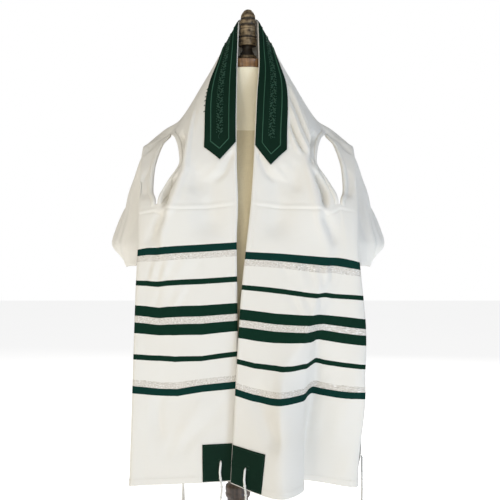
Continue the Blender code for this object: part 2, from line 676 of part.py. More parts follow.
def main():
    """Build every piece."""
    for old in list(bpy.data.objects):
        bpy.data.objects.remove(old, do_unlink=True)

    wool = material("cream wool", (0.80, 0.78, 0.73), 0.85)
    satin = material("bottle green satin", (0.012, 0.045, 0.024), 0.45)
    cord = material("white cord", (0.85, 0.85, 0.82), 0.80)
    linen = material("cream linen", (0.72, 0.66, 0.50), 0.85)
    walnut = material("turned walnut", (0.075, 0.050, 0.034), 0.40)
    bronze = material("bronze", (0.18, 0.12, 0.055), 0.35, 0.8)

    add_turned("stand_base", BASE_RINGS, walnut, sides=40, lean=False)
    add_turned("stand_post", POST_RINGS, walnut, sides=20)
    add_turned("form_torso", TORSO_RINGS, linen)
    add_turned("form_cap", CAP_RINGS, walnut, sides=24)
    add_turned("form_finial", FINIAL_RINGS, bronze, sides=20)

    add_back(wool)
    left, right = Front(-1), Front(1)
    for front, word in ((left, "left"), (right, "right")):
        add_front(f"shawl_{word}_front", front, wool)
        add_wing(f"shawl_{word}_wing", front.side, wool)
        for corner in ("inner", "outer"):
            add_patch(f"patch_{word}_{corner}", front, corner, satin)
            add_fringe(f"fringe_{word}_{corner}", front, corner, cord)
    add_neckband(left, right, satin)


if __name__ == "__main__":
    main()
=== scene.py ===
"""Looks of a tallit prayer shawl that is worn open on a limbless dress form.

Metres, +Z up, the wearer's front towards -Y. "Left" and "right" are the
viewer's, seen from the front. A point of the shawl has two cloth coordinates:
s, the signed distance along the long neck edge from the middle of the back
(negative on the left), and t, which counts guide lines from the neck edge
outwards. The guide lines carry the drape; creases and hems are small reliefs
on top of it.
"""
import logging
import math
import random
from dataclasses import dataclass, field
from enum import Enum
from typing import Callable, NamedTuple, Sequence

import bmesh
import bpy
import numpy as np
from mathutils import Matrix, Vector

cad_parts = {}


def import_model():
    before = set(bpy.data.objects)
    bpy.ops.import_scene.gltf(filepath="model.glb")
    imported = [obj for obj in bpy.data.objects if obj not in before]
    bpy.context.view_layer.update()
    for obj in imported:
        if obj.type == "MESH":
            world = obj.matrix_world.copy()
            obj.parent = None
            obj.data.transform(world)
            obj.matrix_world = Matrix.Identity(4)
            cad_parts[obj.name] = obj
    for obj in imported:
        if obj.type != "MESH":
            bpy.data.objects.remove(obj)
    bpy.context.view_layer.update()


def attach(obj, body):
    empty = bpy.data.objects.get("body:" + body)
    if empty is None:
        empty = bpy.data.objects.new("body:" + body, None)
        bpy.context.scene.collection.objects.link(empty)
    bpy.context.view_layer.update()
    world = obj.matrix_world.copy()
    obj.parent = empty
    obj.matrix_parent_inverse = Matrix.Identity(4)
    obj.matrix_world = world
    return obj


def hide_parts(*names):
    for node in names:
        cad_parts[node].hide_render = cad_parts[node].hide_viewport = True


Array = np.ndarray
BMesh = bmesh.types.BMesh
Material = bpy.types.Material
Object = bpy.types.Object

LOG = logging.getLogger("tallit")
BODY = "root"

# ---- driving sizes of the cloth ----
CLOTH = 0.0016        # wall of the shawl
GAP = 0.0004          # clearance between pieces that touch
TRIM = 0.0012         # wall of the neckband and the corner patches
SEAM_S = 0.05         # s of the shoulder line
HEM_S = 1.05          # s of the hem
ARM_TOP_S = 0.11      # ends of an arm opening
ARM_FOOT_S = 0.48
BAND_REACH = 0.070    # outer side of the neckband, from the neck edge
TRIM_INSET = 0.020    # bare neck edge beside it, as a share of that reach
BAND_FOOT_S = 0.355   # where its pointed end starts
BAND_POINT = 0.026    # depth of that point
PATCH_REACH = 0.0765  # outer side of a patch, from the edge that it lies along
PATCH_WIDTH = 0.071
PATCH_HEIGHT = 0.076
PATCH_HEM = 0.002     # bare hem below it
EYELET_IN = 0.039     # the eyelet, from the same edge and up from the hem
EYELET_UP = 0.043
HEM_DEPTH = 0.014     # turned hem at the foot, and how much it stands out
HEM_LIFT = 0.0006
HEM_TOP_S = HEM_S - HEM_DEPTH - 0.002
EDGE_DEPTH = 0.0095   # turned hem along the neck edge and the outer edge
FOLD_BOOST = 1.6      # folds are written as hung, and pressed this much deeper
ARM_LINES = (3, 4)    # the guide lines on both sides of an arm opening
FORM_TOP_Z = 1.5285
FORM_LEAN = 0.022 / 1.03
ON_BACK = 1e-9        # slack between back and fronts


class Side(Enum):
    """Side of the wearer, as the viewer in front sees it."""

    LEFT = -1
    RIGHT = 1

    @property
    def word(self) -> str:
        """The side's name in piece names."""
        return self.name.lower()


class Corner(Enum):
    """Which corner of a front's hem: by the neck edge, or by the outer edge."""

    INNER = "inner"
    OUTER = "outer"


class Knot(NamedTuple):
    """One control point of a guide line: s along the cloth, and its place."""

    s: float
    x: float
    y: float
    z: float


Line = list[Knot]


def guide(*rows: tuple[float, float, float, float]) -> Line:
    """A guide line from its control points."""
    return [Knot(*row) for row in rows]


# ---- guide lines of the left front, from the neck edge outwards ----
LEFT_LINES: dict[str, Line] = {
    "edge": guide(
        (0.05, -0.0205, 0.0, 1.502), (0.11, -0.0215, -0.032, 1.453), (0.17, -0.0228, -0.055, 1.395),
        (0.24, -0.0236, -0.082, 1.33), (0.31, -0.0243, -0.101, 1.265),
        (0.4, -0.0232, -0.118, 1.175), (0.48, -0.0208, -0.126, 1.095),
        (0.56, -0.0232, -0.128, 1.015), (1.05, -0.0164, -0.128, 0.527)),
    "band": guide(
        (0.05, -0.064, 0.0, 1.425), (0.11, -0.076, -0.034, 1.388), (0.17, -0.09, -0.058, 1.35),
        (0.24, -0.096, -0.082, 1.303), (0.31, -0.097, -0.101, 1.24), (0.4, -0.095, -0.118, 1.161),
        (0.48, -0.0925, -0.128, 1.092), (0.56, -0.092, -0.13, 1.014), (1.05, -0.075, -0.13, 0.524)),
    "ridge": guide(
        (0.05, -0.1005, 0.004, 1.364), (0.11, -0.1125, -0.032, 1.329),
        (0.17, -0.124, -0.062, 1.286), (0.24, -0.1285, -0.086, 1.245),
        (0.31, -0.1315, -0.104, 1.205), (0.4, -0.139, -0.119, 1.149), (0.48, -0.15, -0.128, 1.092),
        (0.56, -0.164, -0.13, 1.012), (0.65, -0.162, -0.128, 0.922), (1.05, -0.128, -0.127, 0.521)),
    "arm_front": guide(
        (0.05, -0.151, 0.014, 1.288), (0.11, -0.162, -0.021, 1.253), (0.17, -0.154, -0.05, 1.238),
        (0.24, -0.145, -0.074, 1.211), (0.31, -0.1435, -0.09, 1.178), (0.4, -0.169, -0.104, 1.137),
        (0.48, -0.187, -0.113, 1.096), (0.56, -0.188, -0.122, 1.009), (1.05, -0.17, -0.123, 0.518)),
    "arm_back": guide(
        (0.05, -0.1845, 0.016, 1.2665), (0.11, -0.1685, -0.018, 1.25),
        (0.17, -0.1835, -0.036, 1.229), (0.24, -0.1945, -0.053, 1.199),
        (0.31, -0.2012, -0.068, 1.168), (0.4, -0.201, -0.09, 1.124), (0.48, -0.1925, -0.111, 1.094),
        (0.56, -0.2065, -0.117, 1.007), (1.05, -0.21, -0.121, 0.516)),
    "crease": guide(
        (0.05, -0.2275, 0.016, 1.2305), (0.11, -0.228, -0.012, 1.225),
        (0.17, -0.2295, -0.032, 1.203), (0.24, -0.2295, -0.05, 1.18),
        (0.31, -0.2285, -0.066, 1.155), (0.4, -0.2272, -0.084, 1.12),
        (0.48, -0.2275, -0.098, 1.077), (0.56, -0.2287, -0.105, 1.002),
        (0.65, -0.2325, -0.11, 0.915), (1.05, -0.2444, -0.118, 0.514)),
    "side": guide(
        (0.05, -0.2245, 0.023, 1.2305), (0.17, -0.2265, -0.025, 1.203),
        (0.31, -0.2255, -0.059, 1.155), (0.48, -0.224, -0.09, 1.077), (0.56, -0.217, -0.07, 1.002),
        (0.6, -0.212, -0.045, 0.962), (0.68, -0.211, -0.01, 0.884), (1.05, -0.215, -0.004, 0.514)),
    "outer": guide(
        (0.05, -0.2205, 0.029, 1.2305), (0.17, -0.2225, -0.019, 1.203),
        (0.31, -0.2215, -0.053, 1.155), (0.48, -0.2195, -0.084, 1.077),
        (0.56, -0.206, -0.025, 1.002), (0.6, -0.188, 0.035, 0.962), (0.68, -0.148, 0.092, 0.884),
        (0.76, -0.122, 0.11, 0.805), (1.05, -0.12, 0.112, 0.515)),
}

# ---- the right front differs at the neck edge and below the waist ----
RIGHT_EDGE: Line = guide(
    (0.05, 0.0205, 0.0, 1.502), (0.11, 0.0215, -0.032, 1.453), (0.17, 0.0225, -0.055, 1.395),
    (0.24, 0.018, -0.082, 1.33), (0.31, 0.0152, -0.101, 1.265), (0.4, 0.011, -0.118, 1.175),
    (0.48, 0.0055, -0.127, 1.095), (0.56, -0.003, -0.133, 1.015), (0.65, -0.0125, -0.136, 0.926),
    (0.74, -0.019, -0.138, 0.836), (1.05, -0.0355, -0.142, 0.526))
RIGHT_BAND: Line = guide(
    (0.05, 0.064, 0.0, 1.425), (0.11, 0.076, -0.034, 1.388), (0.17, 0.086, -0.058, 1.35),
    (0.24, 0.084, -0.083, 1.303), (0.31, 0.082, -0.102, 1.24), (0.4, 0.08, -0.119, 1.161),
    (0.48, 0.0775, -0.129, 1.092), (0.56, 0.07, -0.134, 1.012), (0.65, 0.056, -0.139, 0.922),
    (0.74, 0.042, -0.145, 0.831), (1.05, 0.02, -0.18, 0.514))
LOWER_RIGHT: dict[str, Line] = {
    "ridge": guide(
        (0.56, 0.164, -0.13, 1.008), (0.65, 0.14, -0.138, 0.912), (0.75, 0.1115, -0.15, 0.818),
        (0.8, 0.078, -0.16, 0.762), (0.87, 0.068, -0.175, 0.696), (1.05, 0.07, -0.205, 0.51)),
    "arm_front": guide(
        (0.56, 0.188, -0.12, 1.008), (0.65, 0.16, -0.127, 0.914), (0.75, 0.129, -0.136, 0.82),
        (0.87, 0.112, -0.142, 0.7), (1.05, 0.1105, -0.165, 0.516)),
    "arm_back": guide(
        (0.56, 0.2065, -0.117, 1.007), (0.65, 0.18, -0.118, 0.912), (0.75, 0.149, -0.115, 0.818),
        (0.87, 0.133, -0.098, 0.7), (1.05, 0.113, -0.09, 0.518)),
    "crease": guide(
        (0.56, 0.2287, -0.105, 1.002), (0.65, 0.2375, -0.102, 0.912), (0.75, 0.243, -0.1, 0.808),
        (0.87, 0.242, -0.1, 0.691), (0.98, 0.2295, -0.09, 0.575), (1.05, 0.225, -0.086, 0.502)),
    "side": guide(
        (0.56, 0.217, -0.07, 1.002), (0.65, 0.224, -0.048, 0.912), (0.75, 0.231, -0.036, 0.808),
        (0.87, 0.238, -0.036, 0.691), (0.98, 0.2385, -0.037, 0.575), (1.05, 0.232, -0.038, 0.503)),
    "outer": guide(
        (0.56, 0.206, -0.025, 1.002), (0.65, 0.206, 0.03, 0.912), (0.75, 0.216, 0.046, 0.808),
        (0.87, 0.238, 0.044, 0.691), (0.98, 0.252, 0.04, 0.576), (1.05, 0.243, 0.036, 0.505)),
}

# ---- the back, from its middle to the left shoulder line ----
BACK_LINES: dict[str, Line] = {
    "edge": guide(
        (0.0, 0.0, 0.03, 1.519), (0.025, -0.015, 0.023, 1.514), (0.05, -0.0205, 0.0, 1.502)),
    "band": guide(
        (0.0, 0.0, 0.056, 1.437), (0.025, -0.043, 0.042, 1.434), (0.05, -0.064, 0.0, 1.425)),
    "blade": guide(
        (0.0, 0.0, 0.102, 1.29), (0.025, -0.08, 0.078, 1.32), (0.05, -0.1005, 0.004, 1.364)),
    "hem": guide(
        (0.0, 0.0, 0.124, 1.03), (0.008, -0.072, 0.121, 1.031), (0.018, -0.13, 0.113, 1.042),
        (0.026, -0.15, 0.103, 1.085), (0.038, -0.1525, 0.068, 1.215), (0.05, -0.151, 0.014, 1.288)),
}


class WingRow(NamedTuple):
    """One level of the cloth that falls outside the arm, at its three folds."""

    z: float
    front_x: float
    front_y: float
    outer_x: float
    outer_y: float
    rear_x: float
    rear_y: float


WING_ROWS = [WingRow(*row) for row in (
    (1.226, 0.206, -0.006, 0.212, 0.003, 0.206, 0.012),
    (1.217, 0.209, -0.008, 0.219, 0.003, 0.212, 0.016),
    (1.205, 0.212, -0.012, 0.2335, 0.001, 0.223, 0.024),
    (1.15, 0.2125, -0.036, 0.252, -0.004, 0.239, 0.042),
    (1.09, 0.215, -0.062, 0.271, -0.006, 0.253, 0.058),
    (1.045, 0.224, -0.074, 0.2855, -0.009, 0.264, 0.067),
    (1.019, 0.231, -0.078, 0.2935, -0.01, 0.268, 0.069),
    (1.006, 0.232, -0.078, 0.292, -0.011, 0.267, 0.068),
    (0.985, 0.234, -0.076, 0.2765, -0.012, 0.26, 0.064),
    (0.966, 0.237, -0.072, 0.263, -0.012, 0.252, 0.058))]


class Ring(NamedTuple):
    """One level of a turned or moulded piece: height, half sizes, set-back."""

    z: float
    half_x: float
    half_y: float
    centre_y: float = 0.0


TORSO_RINGS = [Ring(*row) for row in (
    (0.56, 0.09, 0.06), (0.563, 0.128, 0.086), (0.58, 0.148, 0.103), (0.66, 0.156, 0.112),
    (0.76, 0.145, 0.111), (0.88, 0.126, 0.108), (0.98, 0.13, 0.108), (1.08, 0.14, 0.108, -0.002),
    (1.14, 0.143, 0.104), (1.2, 0.144, 0.091, 0.004), (1.24, 0.149, 0.078, 0.006),
    (1.262, 0.142, 0.07, 0.006), (1.282, 0.112, 0.062, 0.004), (1.305, 0.08, 0.056, 0.002),
    (1.335, 0.06, 0.052), (1.365, 0.055, 0.05), (1.3926, 0.055, 0.05))]


Place = tuple[float, float]


class Fold(NamedTuple):
    """A soft trough (negative depth) or ridge along a path on the cloth.

    A place of the path is (metres out from the neck edge, metres down from the
    neck).
    """

    depth: float
    width: float
    path: tuple[Place, ...]

    def height(self, out: Array, down: Array) -> Array:
        """Height of the fold, which dies away past both ends of its path.

        Args:
            out: Metres out from the neck edge.
            down: Metres down from the neck.

        Returns:
            One height for each place.
        """
        path = np.array(self.path)
        runs = np.diff(path, axis=0)
        lengths = np.linalg.norm(runs, axis=1)
        total = lengths.sum()
        nearest = np.full(out.shape, np.inf)
        share = np.zeros(out.shape)
        walked = 0.0
        for k, (start, run, length) in enumerate(zip(path, runs / lengths[:, None], lengths)):
            early = 0.15 * total if k == 0 else 0.0
            late = 0.15 * total if k == len(runs) - 1 else 0.0
            along = (out - start[0]) * run[0] + (down - start[1]) * run[1]
            along = np.clip(along, -early, length + late)
            off = np.hypot(out - start[0] - run[0] * along, down - start[1] - run[1] * along)
            share = np.where(off < nearest, (walked + along) / total, share)
            nearest = np.minimum(off, nearest)
            walked += length
        ends = smoothstep(-0.15, 0.2, share) * (1 - smoothstep(0.8, 1.15, share))
        return self.depth * np.exp(-(nearest / self.width) ** 2) * ends


ARM_POCKET = Fold(-0.015, 0.006, ((0.135, 0.385), (0.149, 0.435), (0.155, 0.478)))
SHOULDER_PLEATS = (
    Fold(-0.0042, 0.0052, ((0.084, 0.138), (0.155, 0.22))),
    Fold(0.0034, 0.005, ((0.08, 0.165), (0.145, 0.255))),
    Fold(-0.0042, 0.005, ((0.072, 0.185), (0.138, 0.282))),
    Fold(0.003, 0.005, ((0.074, 0.23), (0.122, 0.315))),
    Fold(-0.0038, 0.005, ((0.072, 0.266), (0.108, 0.33))),
    Fold(0.0024, 0.005, ((0.074, 0.29), (0.096, 0.34))),
)
SHARED_FOLDS = (
    ARM_POCKET,
    # the valley beside the arm opening, and the shoulder end
    Fold(-0.011, 0.006, ((0.186, 0.185), (0.163, 0.24), (0.146, 0.285), (0.128, 0.345))),
    Fold(-0.0036, 0.0075, ((0.278, 0.17), (0.285, 0.13), (0.276, 0.09), (0.262, 0.068))),
    Fold(-0.002, 0.008, ((0.24, 0.3), (0.215, 0.39), (0.204, 0.43))),
    # the ironed fold across the front, and the shade under it
    Fold(-0.0008, 0.0024, ((0.216, 0.484), (0.162, 0.503), (0.147, 0.489), (0.078, 0.487),
                           (0.004, 0.483))),
    Fold(0.0006, 0.0035, ((0.216, 0.478), (0.162, 0.497), (0.147, 0.483), (0.078, 0.48),
                          (0.004, 0.476))),
    Fold(-0.005, 0.011, ((0.15, 0.5), (0.168, 0.522), (0.184, 0.552))),
    Fold(-0.0062, 0.028, ((0.066, 0.4), (0.056, 0.54))),
    # below the neckband's point
    Fold(-0.0034, 0.006, ((0.009, 0.372), (0.019, 0.391), (0.028, 0.411), (0.043, 0.423))),
    Fold(0.0016, 0.008, ((0.03, 0.368), (0.045, 0.398), (0.066, 0.415))),
    Fold(-0.0016, 0.012, ((0.086, 0.372), (0.09, 0.445))),
    Fold(0.0014, 0.012, ((0.066, 0.41), (0.07, 0.47))),
    # rays between the upper stripes
    Fold(-0.0015, 0.005, ((0.177, 0.588), (0.188, 0.626))),
    Fold(0.0012, 0.005, ((0.166, 0.588), (0.178, 0.628))),
    Fold(-0.0014, 0.005, ((0.152, 0.588), (0.166, 0.632))),
    Fold(0.0012, 0.005, ((0.138, 0.588), (0.156, 0.634))),
    Fold(-0.0013, 0.0055, ((0.122, 0.59), (0.146, 0.634))),
    Fold(0.001, 0.006, ((0.1, 0.592), (0.128, 0.636))),
    Fold(-0.001, 0.006, ((0.07, 0.59), (0.094, 0.63))),
    Fold(-0.0014, 0.0055, ((0.125, 0.65), (0.147, 0.692))),
    Fold(0.0012, 0.0055, ((0.11, 0.65), (0.134, 0.694))),
    Fold(-0.0013, 0.0055, ((0.094, 0.65), (0.119, 0.692))),
    Fold(-0.0013, 0.005, ((0.159, 0.65), (0.173, 0.688))),
)
SIDE_FOLDS = {
    Side.LEFT: (
        Fold(0.0042, 0.0085, ((0.122, 0.18), (0.119, 0.272), (0.111, 0.376), (0.132, 0.464),
                              (0.152, 0.522), (0.155, 0.575))),
        Fold(-0.002, 0.012, ((0.028, 0.882), (0.048, 0.912), (0.071, 0.933), (0.102, 0.963),
                               (0.127, 0.992))),
        Fold(0.0014, 0.012, ((0.07, 0.88), (0.1, 0.92), (0.13, 0.96))),
        Fold(-0.0012, 0.01, ((0.122, 0.93), (0.139, 0.969), (0.155, 0.999))),
        Fold(-0.0018, 0.01, ((0.16, 0.862), (0.168, 0.907), (0.163, 0.95))),
        Fold(0.0014, 0.013, ((0.19, 0.85), (0.196, 0.93), (0.19, 1.01))),
        # round the side and on the back
        Fold(-0.0026, 0.02, ((0.29, 0.62), (0.3, 0.8), (0.296, 0.99))),
        Fold(0.0028, 0.018, ((0.34, 0.62), (0.334, 0.78), (0.33, 0.95))),
        Fold(-0.0028, 0.019, ((0.392, 0.69), (0.398, 0.86), (0.402, 1.03))),
        Fold(0.0024, 0.016, ((0.442, 0.64), (0.438, 0.8), (0.434, 0.97))),
    ),
    Side.RIGHT: (
        *SHOULDER_PLEATS,
        Fold(-0.0022, 0.0026, ((0.074, 0.188), (0.138, 0.282))),
        Fold(-0.0022, 0.0026, ((0.074, 0.268), (0.108, 0.33))),
        Fold(0.003, 0.008, ((0.112, 0.35), (0.114, 0.375), (0.129, 0.456), (0.147, 0.52),
                              (0.161, 0.55))),
        Fold(-0.0045, 0.009, ((0.176, 0.75), (0.19, 0.788), (0.205, 0.836), (0.212, 0.877),
                               (0.219, 0.914), (0.229, 0.956), (0.244, 1.01))),
        Fold(-0.0052, 0.018, ((0.04, 0.85), (0.06, 0.889), (0.08, 0.923), (0.1, 0.958))),
        Fold(0.0018, 0.015, ((0.249, 0.86), (0.29, 0.95), (0.338, 1.02))),
        Fold(-0.0018, 0.012, ((0.3, 0.86), (0.33, 0.96))),
        # round the side and on the back
        Fold(-0.0022, 0.018, ((0.3, 0.62), (0.325, 0.8), (0.365, 0.99))),
        Fold(0.0026, 0.015, ((0.35, 0.66), (0.378, 0.82), (0.412, 0.98))),
        Fold(-0.0024, 0.015, ((0.395, 0.7), (0.415, 0.86), (0.446, 1.02))),
    ),
}
# Soft folds that fan down the back: place along the neck edge, height and half width.
BACK_FOLDS = ((-0.035, 0.0085, 0.0052), (-0.014, 0.0062, 0.004), (0.007, 0.0078, 0.0048),
              (0.03, 0.007, 0.0055))
# Metres that the weft rises: s, then one value for each of BOW_PLACES across.
BOW_PLACES = (0.0, 0.5, 1.0, 2.0, 3.0, 4.0, 4.5, 5.0, 7.0)
STRIPE_BOW = {
    Side.LEFT: (
        (0.45, *[0.0] * 9),
        (0.56, 0.005, 0.0032, 0.0015, -0.0008, 0.0, 0.0015, 0.0021, 0.0027, 0.0027),
        (0.7, 0.002, 0.0, -0.0018, -0.002, -0.0002, 0.0048, 0.0065, 0.0075, 0.0065),
        (0.791, 0.003, -0.0005, -0.005, -0.004, 0.0015, 0.004, 0.0055, 0.006, 0.0055),
        (0.85, 0.006, 0.0035, 0.001, -0.0058, -0.002, 0.0025, 0.0045, 0.006, 0.0045),
        (1.05, *[0.0] * 9),
    ),
    Side.RIGHT: (
        (0.5, *[-0.0082] * 9),
        (0.572, -0.0144, -0.0146, -0.0148, -0.0164, -0.0172, -0.0185, -0.0205, -0.0226, -0.0164),
        (0.639, -0.0144, -0.0158, -0.0172, -0.0189, -0.0195, -0.0205, -0.023, -0.0256, -0.0164),
        (0.6975, -0.0103, -0.0123, -0.0144, -0.0121, -0.0129, -0.0129, -0.0152, -0.0185, -0.0123),
        (0.7325, -0.0107, -0.0119, -0.0137, -0.0139, -0.0141, -0.0098, -0.0137, -0.0148, -0.0103),
        (0.791, -0.0119, -0.016, -0.0152, -0.0105, -0.0164, -0.0086, -0.0115, -0.0125, -0.0082),
        (0.858, -0.0074, -0.0131, -0.0137, -0.0123, -0.0133, -0.0047, -0.0083, -0.0074, -0.0062),
        (1.05, *[0.0] * 9),
    ),
}
# How far past the neckband's foot its inner corner, its point and its outer corner lie.
BAND_END = {Side.LEFT: (-0.004, 0.0255, -0.0120), Side.RIGHT: (0.003, 0.0370, -0.0080)}


# ---- curves ----
def hermite(knots: Array, values: Array, at: Array) -> Array:
    """Smooth curves through uneven knots.

    Args:
        knots: Rising places of the values, one row for each curve.
        values: Numbers at each knot of each curve.
        at: Places to read on each curve, held within its knots.

    Returns:
        Numbers at each place of each curve.
    """
    span = np.diff(knots, axis=1)
    slopes = np.empty_like(values)
    slopes[:, 1:-1] = (values[:, 2:] - values[:, :-2]) / (knots[:, 2:] - knots[:, :-2])[..., None]
    slopes[:, 0] = (values[:, 1] - values[:, 0]) / span[:, :1]
    slopes[:, -1] = (values[:, -1] - values[:, -2]) / span[:, -1:]
    low = (at[:, :, None] >= knots[:, None, :]).sum(axis=2) - 1
    low = np.clip(low, 0, knots.shape[1] - 2)
    width = np.take_along_axis(span, low, axis=1)
    u = np.clip((at - np.take_along_axis(knots, low, axis=1)) / width, 0.0, 1.0)[..., None]
    width = width[..., None]
    here, ahead = low[..., None], low[..., None] + 1
    return (np.take_along_axis(values, here, axis=1) * (2 * u ** 3 - 3 * u ** 2 + 1)
            + np.take_along_axis(slopes, here, axis=1) * width * (u ** 3 - 2 * u ** 2 + u)
            + np.take_along_axis(values, ahead, axis=1) * (3 * u ** 2 - 2 * u ** 3)
            + np.take_along_axis(slopes, ahead, axis=1) * width * (u ** 3 - u ** 2))


def rows_at(rows: Sequence[Sequence[float]], at: Array) -> Array:
    """Smooth values of a table whose first column is its knots.

    Args:
        rows: The table, its knots rising.
        at: Places to read.

    Returns:
        The other columns at each place.
    """
    table = np.array(rows, float)
    return hermite(table[None, :, 0], table[None, :, 1:], np.asarray(at, float)[None])[0]


def smoothstep(low: float, high: float, value: Array) -> Array:
    """Zero below low, one above high, and a soft step between."""
    u = np.clip((value - low) / (high - low), 0.0, 1.0)
    return u * u * (3 - 2 * u)


def unit(vectors: Array) -> Array:
    """The same directions at length one."""
    return vectors / np.maximum(np.linalg.norm(vectors, axis=-1, keepdims=True), 1e-12)


def lines_cut(reach: Array, places: Array) -> Array:
    """Metres out at places between guide lines.

    Args:
        reach: Metres out of each guide line, by row.
        places: Places that count guide lines.

    Returns:
        Metres out of each place.
    """
    low = np.clip(places.astype(int), 0, reach.shape[1] - 2)
    start = np.take_along_axis(reach, low, axis=1)
    end = np.take_along_axis(reach, low + 1, axis=1)
    return start + (places - low) * (end - start)


def trim_reach(down: Array) -> Array:
    """Distance of the second guide line from the neck edge."""
    start, run = BAND_FOOT_S + BAND_POINT, HEM_S - PATCH_HEIGHT - BAND_FOOT_S
    return BAND_REACH + (PATCH_REACH - BAND_REACH) * np.clip((down - start) / run, 0.0, 1.0)


def band_end(side: Side, out: Array) -> Array:
    """How far down the neckband reaches.

    Args:
        side: Which end of the band.
        out: Metres out from the neck edge.

    Returns:
        Metres down from the neck.
    """
    inner = TRIM_INSET * BAND_REACH
    share = np.clip((out - inner) / (BAND_REACH - inner), 0.0, 1.0)
    return BAND_FOOT_S + np.interp(share, (0.0, 0.5, 1.0), BAND_END[side])


def right_lines() -> dict[str, Line]:
    """Guide lines of the right front.

    Returns:
        The lines by name.
    """
    lines = {name: [Knot(k.s, -k.x, k.y, k.z) for k in line] for name, line in LEFT_LINES.items()}
    lines["edge"], lines["band"] = RIGHT_EDGE, RIGHT_BAND
    for name, lower in LOWER_RIGHT.items():
        lines[name] = [k for k in lines[name] if k.s < lower[0].s] + lower
    return lines


def zones_of(s: Array) -> Array:
    """0 for the back, or the value of a side, at each signed place s."""
    return np.where(np.abs(s) < SEAM_S - ON_BACK, 0, np.sign(s)).astype(int)


@dataclass
class Drape:
    """Where each point of the shawl lies, by its cloth coordinates."""

    step: float = 0.002
    spread: float = 0.03
    last_line: int = 7
    lines: dict[int, list[Line]] = field(init=False)

    def __post_init__(self) -> None:
        """Keep the guide lines of the back (0) and of both fronts."""
        self.lines = {Side.LEFT.value: list(LEFT_LINES.values()), 0: list(BACK_LINES.values()),
                      Side.RIGHT.value: list(right_lines().values())}

    def guides(self, zone: int, s: Array) -> tuple[Array, Array]:
        """Guide points across the cloth.

        Args:
            zone: 0 for the back, or the value of a side.
            s: Signed places along the neck edge, all in that zone.

        Returns:
            The distance across at each guide line, and the guide points.
        """
        down = np.abs(s)
        points = np.stack([rows_at(line, down) for line in self.lines[zone]], axis=1)
        first = unit(points[:, 1] - points[:, 0])
        points[:, 1] = points[:, 0] + first * trim_reach(down)[:, None]
        if zone == 0:
            points[s > 0, :, 0] *= -1
        steps = np.maximum(np.linalg.norm(np.diff(points, axis=1), axis=2), 1e-6)
        reach = np.insert(np.cumsum(steps, axis=1), 0, 0.0, axis=1)
        return reach, points

    def place(self, s: object, t: object) -> Array:
        """Points of the drape.

        Args:
            s: Signed places along the neck edge.
            t: Places across, counted in guide lines; it spreads against s.

        Returns:
            One point for each pair.
        """
        s, t = np.broadcast_arrays(np.asarray(s, float), np.asarray(t, float))
        flat_s, flat_t = s.ravel(), t.ravel()
        zones = zones_of(flat_s)
        made = np.empty((flat_s.size, 3))
        for zone in np.unique(zones):
            inside = zones == zone
            ribs, which = np.unique(flat_s[inside], return_inverse=True)
            reach, points = self.guides(int(zone), ribs)
            reach, points = reach[which], points[which]
            at = lines_cut(reach, np.minimum(flat_t[inside], reach.shape[1] - 1)[:, None])
            made[inside] = hermite(reach, points, at)[:, 0]
        return made.reshape(s.shape + (3,))

    def normal(self, s: object, t: object) -> Array:
        """Directions that the outer side of the cloth faces.

        Args:
            s: Signed places along the neck edge.
            t: Places across, counted in guide lines.

        Returns:
            One direction for each pair.
        """
        s, t = np.asarray(s, float), np.asarray(t, float)
        along = self.place(np.minimum(s + self.step, HEM_S), t)
        along = along - self.place(np.maximum(s - self.step, -HEM_S), t)
        over = self.place(s, np.minimum(t + self.spread, self.last_line))
        over = over - self.place(s, np.maximum(t - self.spread, 0.0))
        return unit(np.cross(along, over))

    def above(self, s: object, t: object, lift: object) -> Array:
        """Points that lie lift out from the middle of the cloth."""
        lift = np.asarray(lift, float)
        return self.place(s, t) + self.normal(s, t) * lift[..., None]

    def out(self, s: Array, t: Array) -> Array:
        """Distances across a grid of rows s and columns t.

        Args:
            s: Signed places along the neck edge.
            t: Places across, counted in guide lines.

        Returns:
            A row of metres out from the neck edge for each s.
        """
        made = np.empty((len(s), len(t)))
        zones = zones_of(s)
        for zone in np.unique(zones):
            inside = zones == zone
            reach, _ = self.guides(int(zone), s[inside])
            places = np.broadcast_to(np.minimum(t, reach.shape[1] - 1), (inside.sum(), len(t)))
            made[inside] = lines_cut(reach, places)
        return made

    def place_from_outer(self, side: Side, distance: float) -> float:
        """The t at the hem that lies a distance in from the outer edge."""
        reach, _ = self.guides(side.value, np.array([side.value * HEM_S]))
        return float(np.interp(reach[0, -1] - distance, reach[0], np.arange(reach.shape[1])))


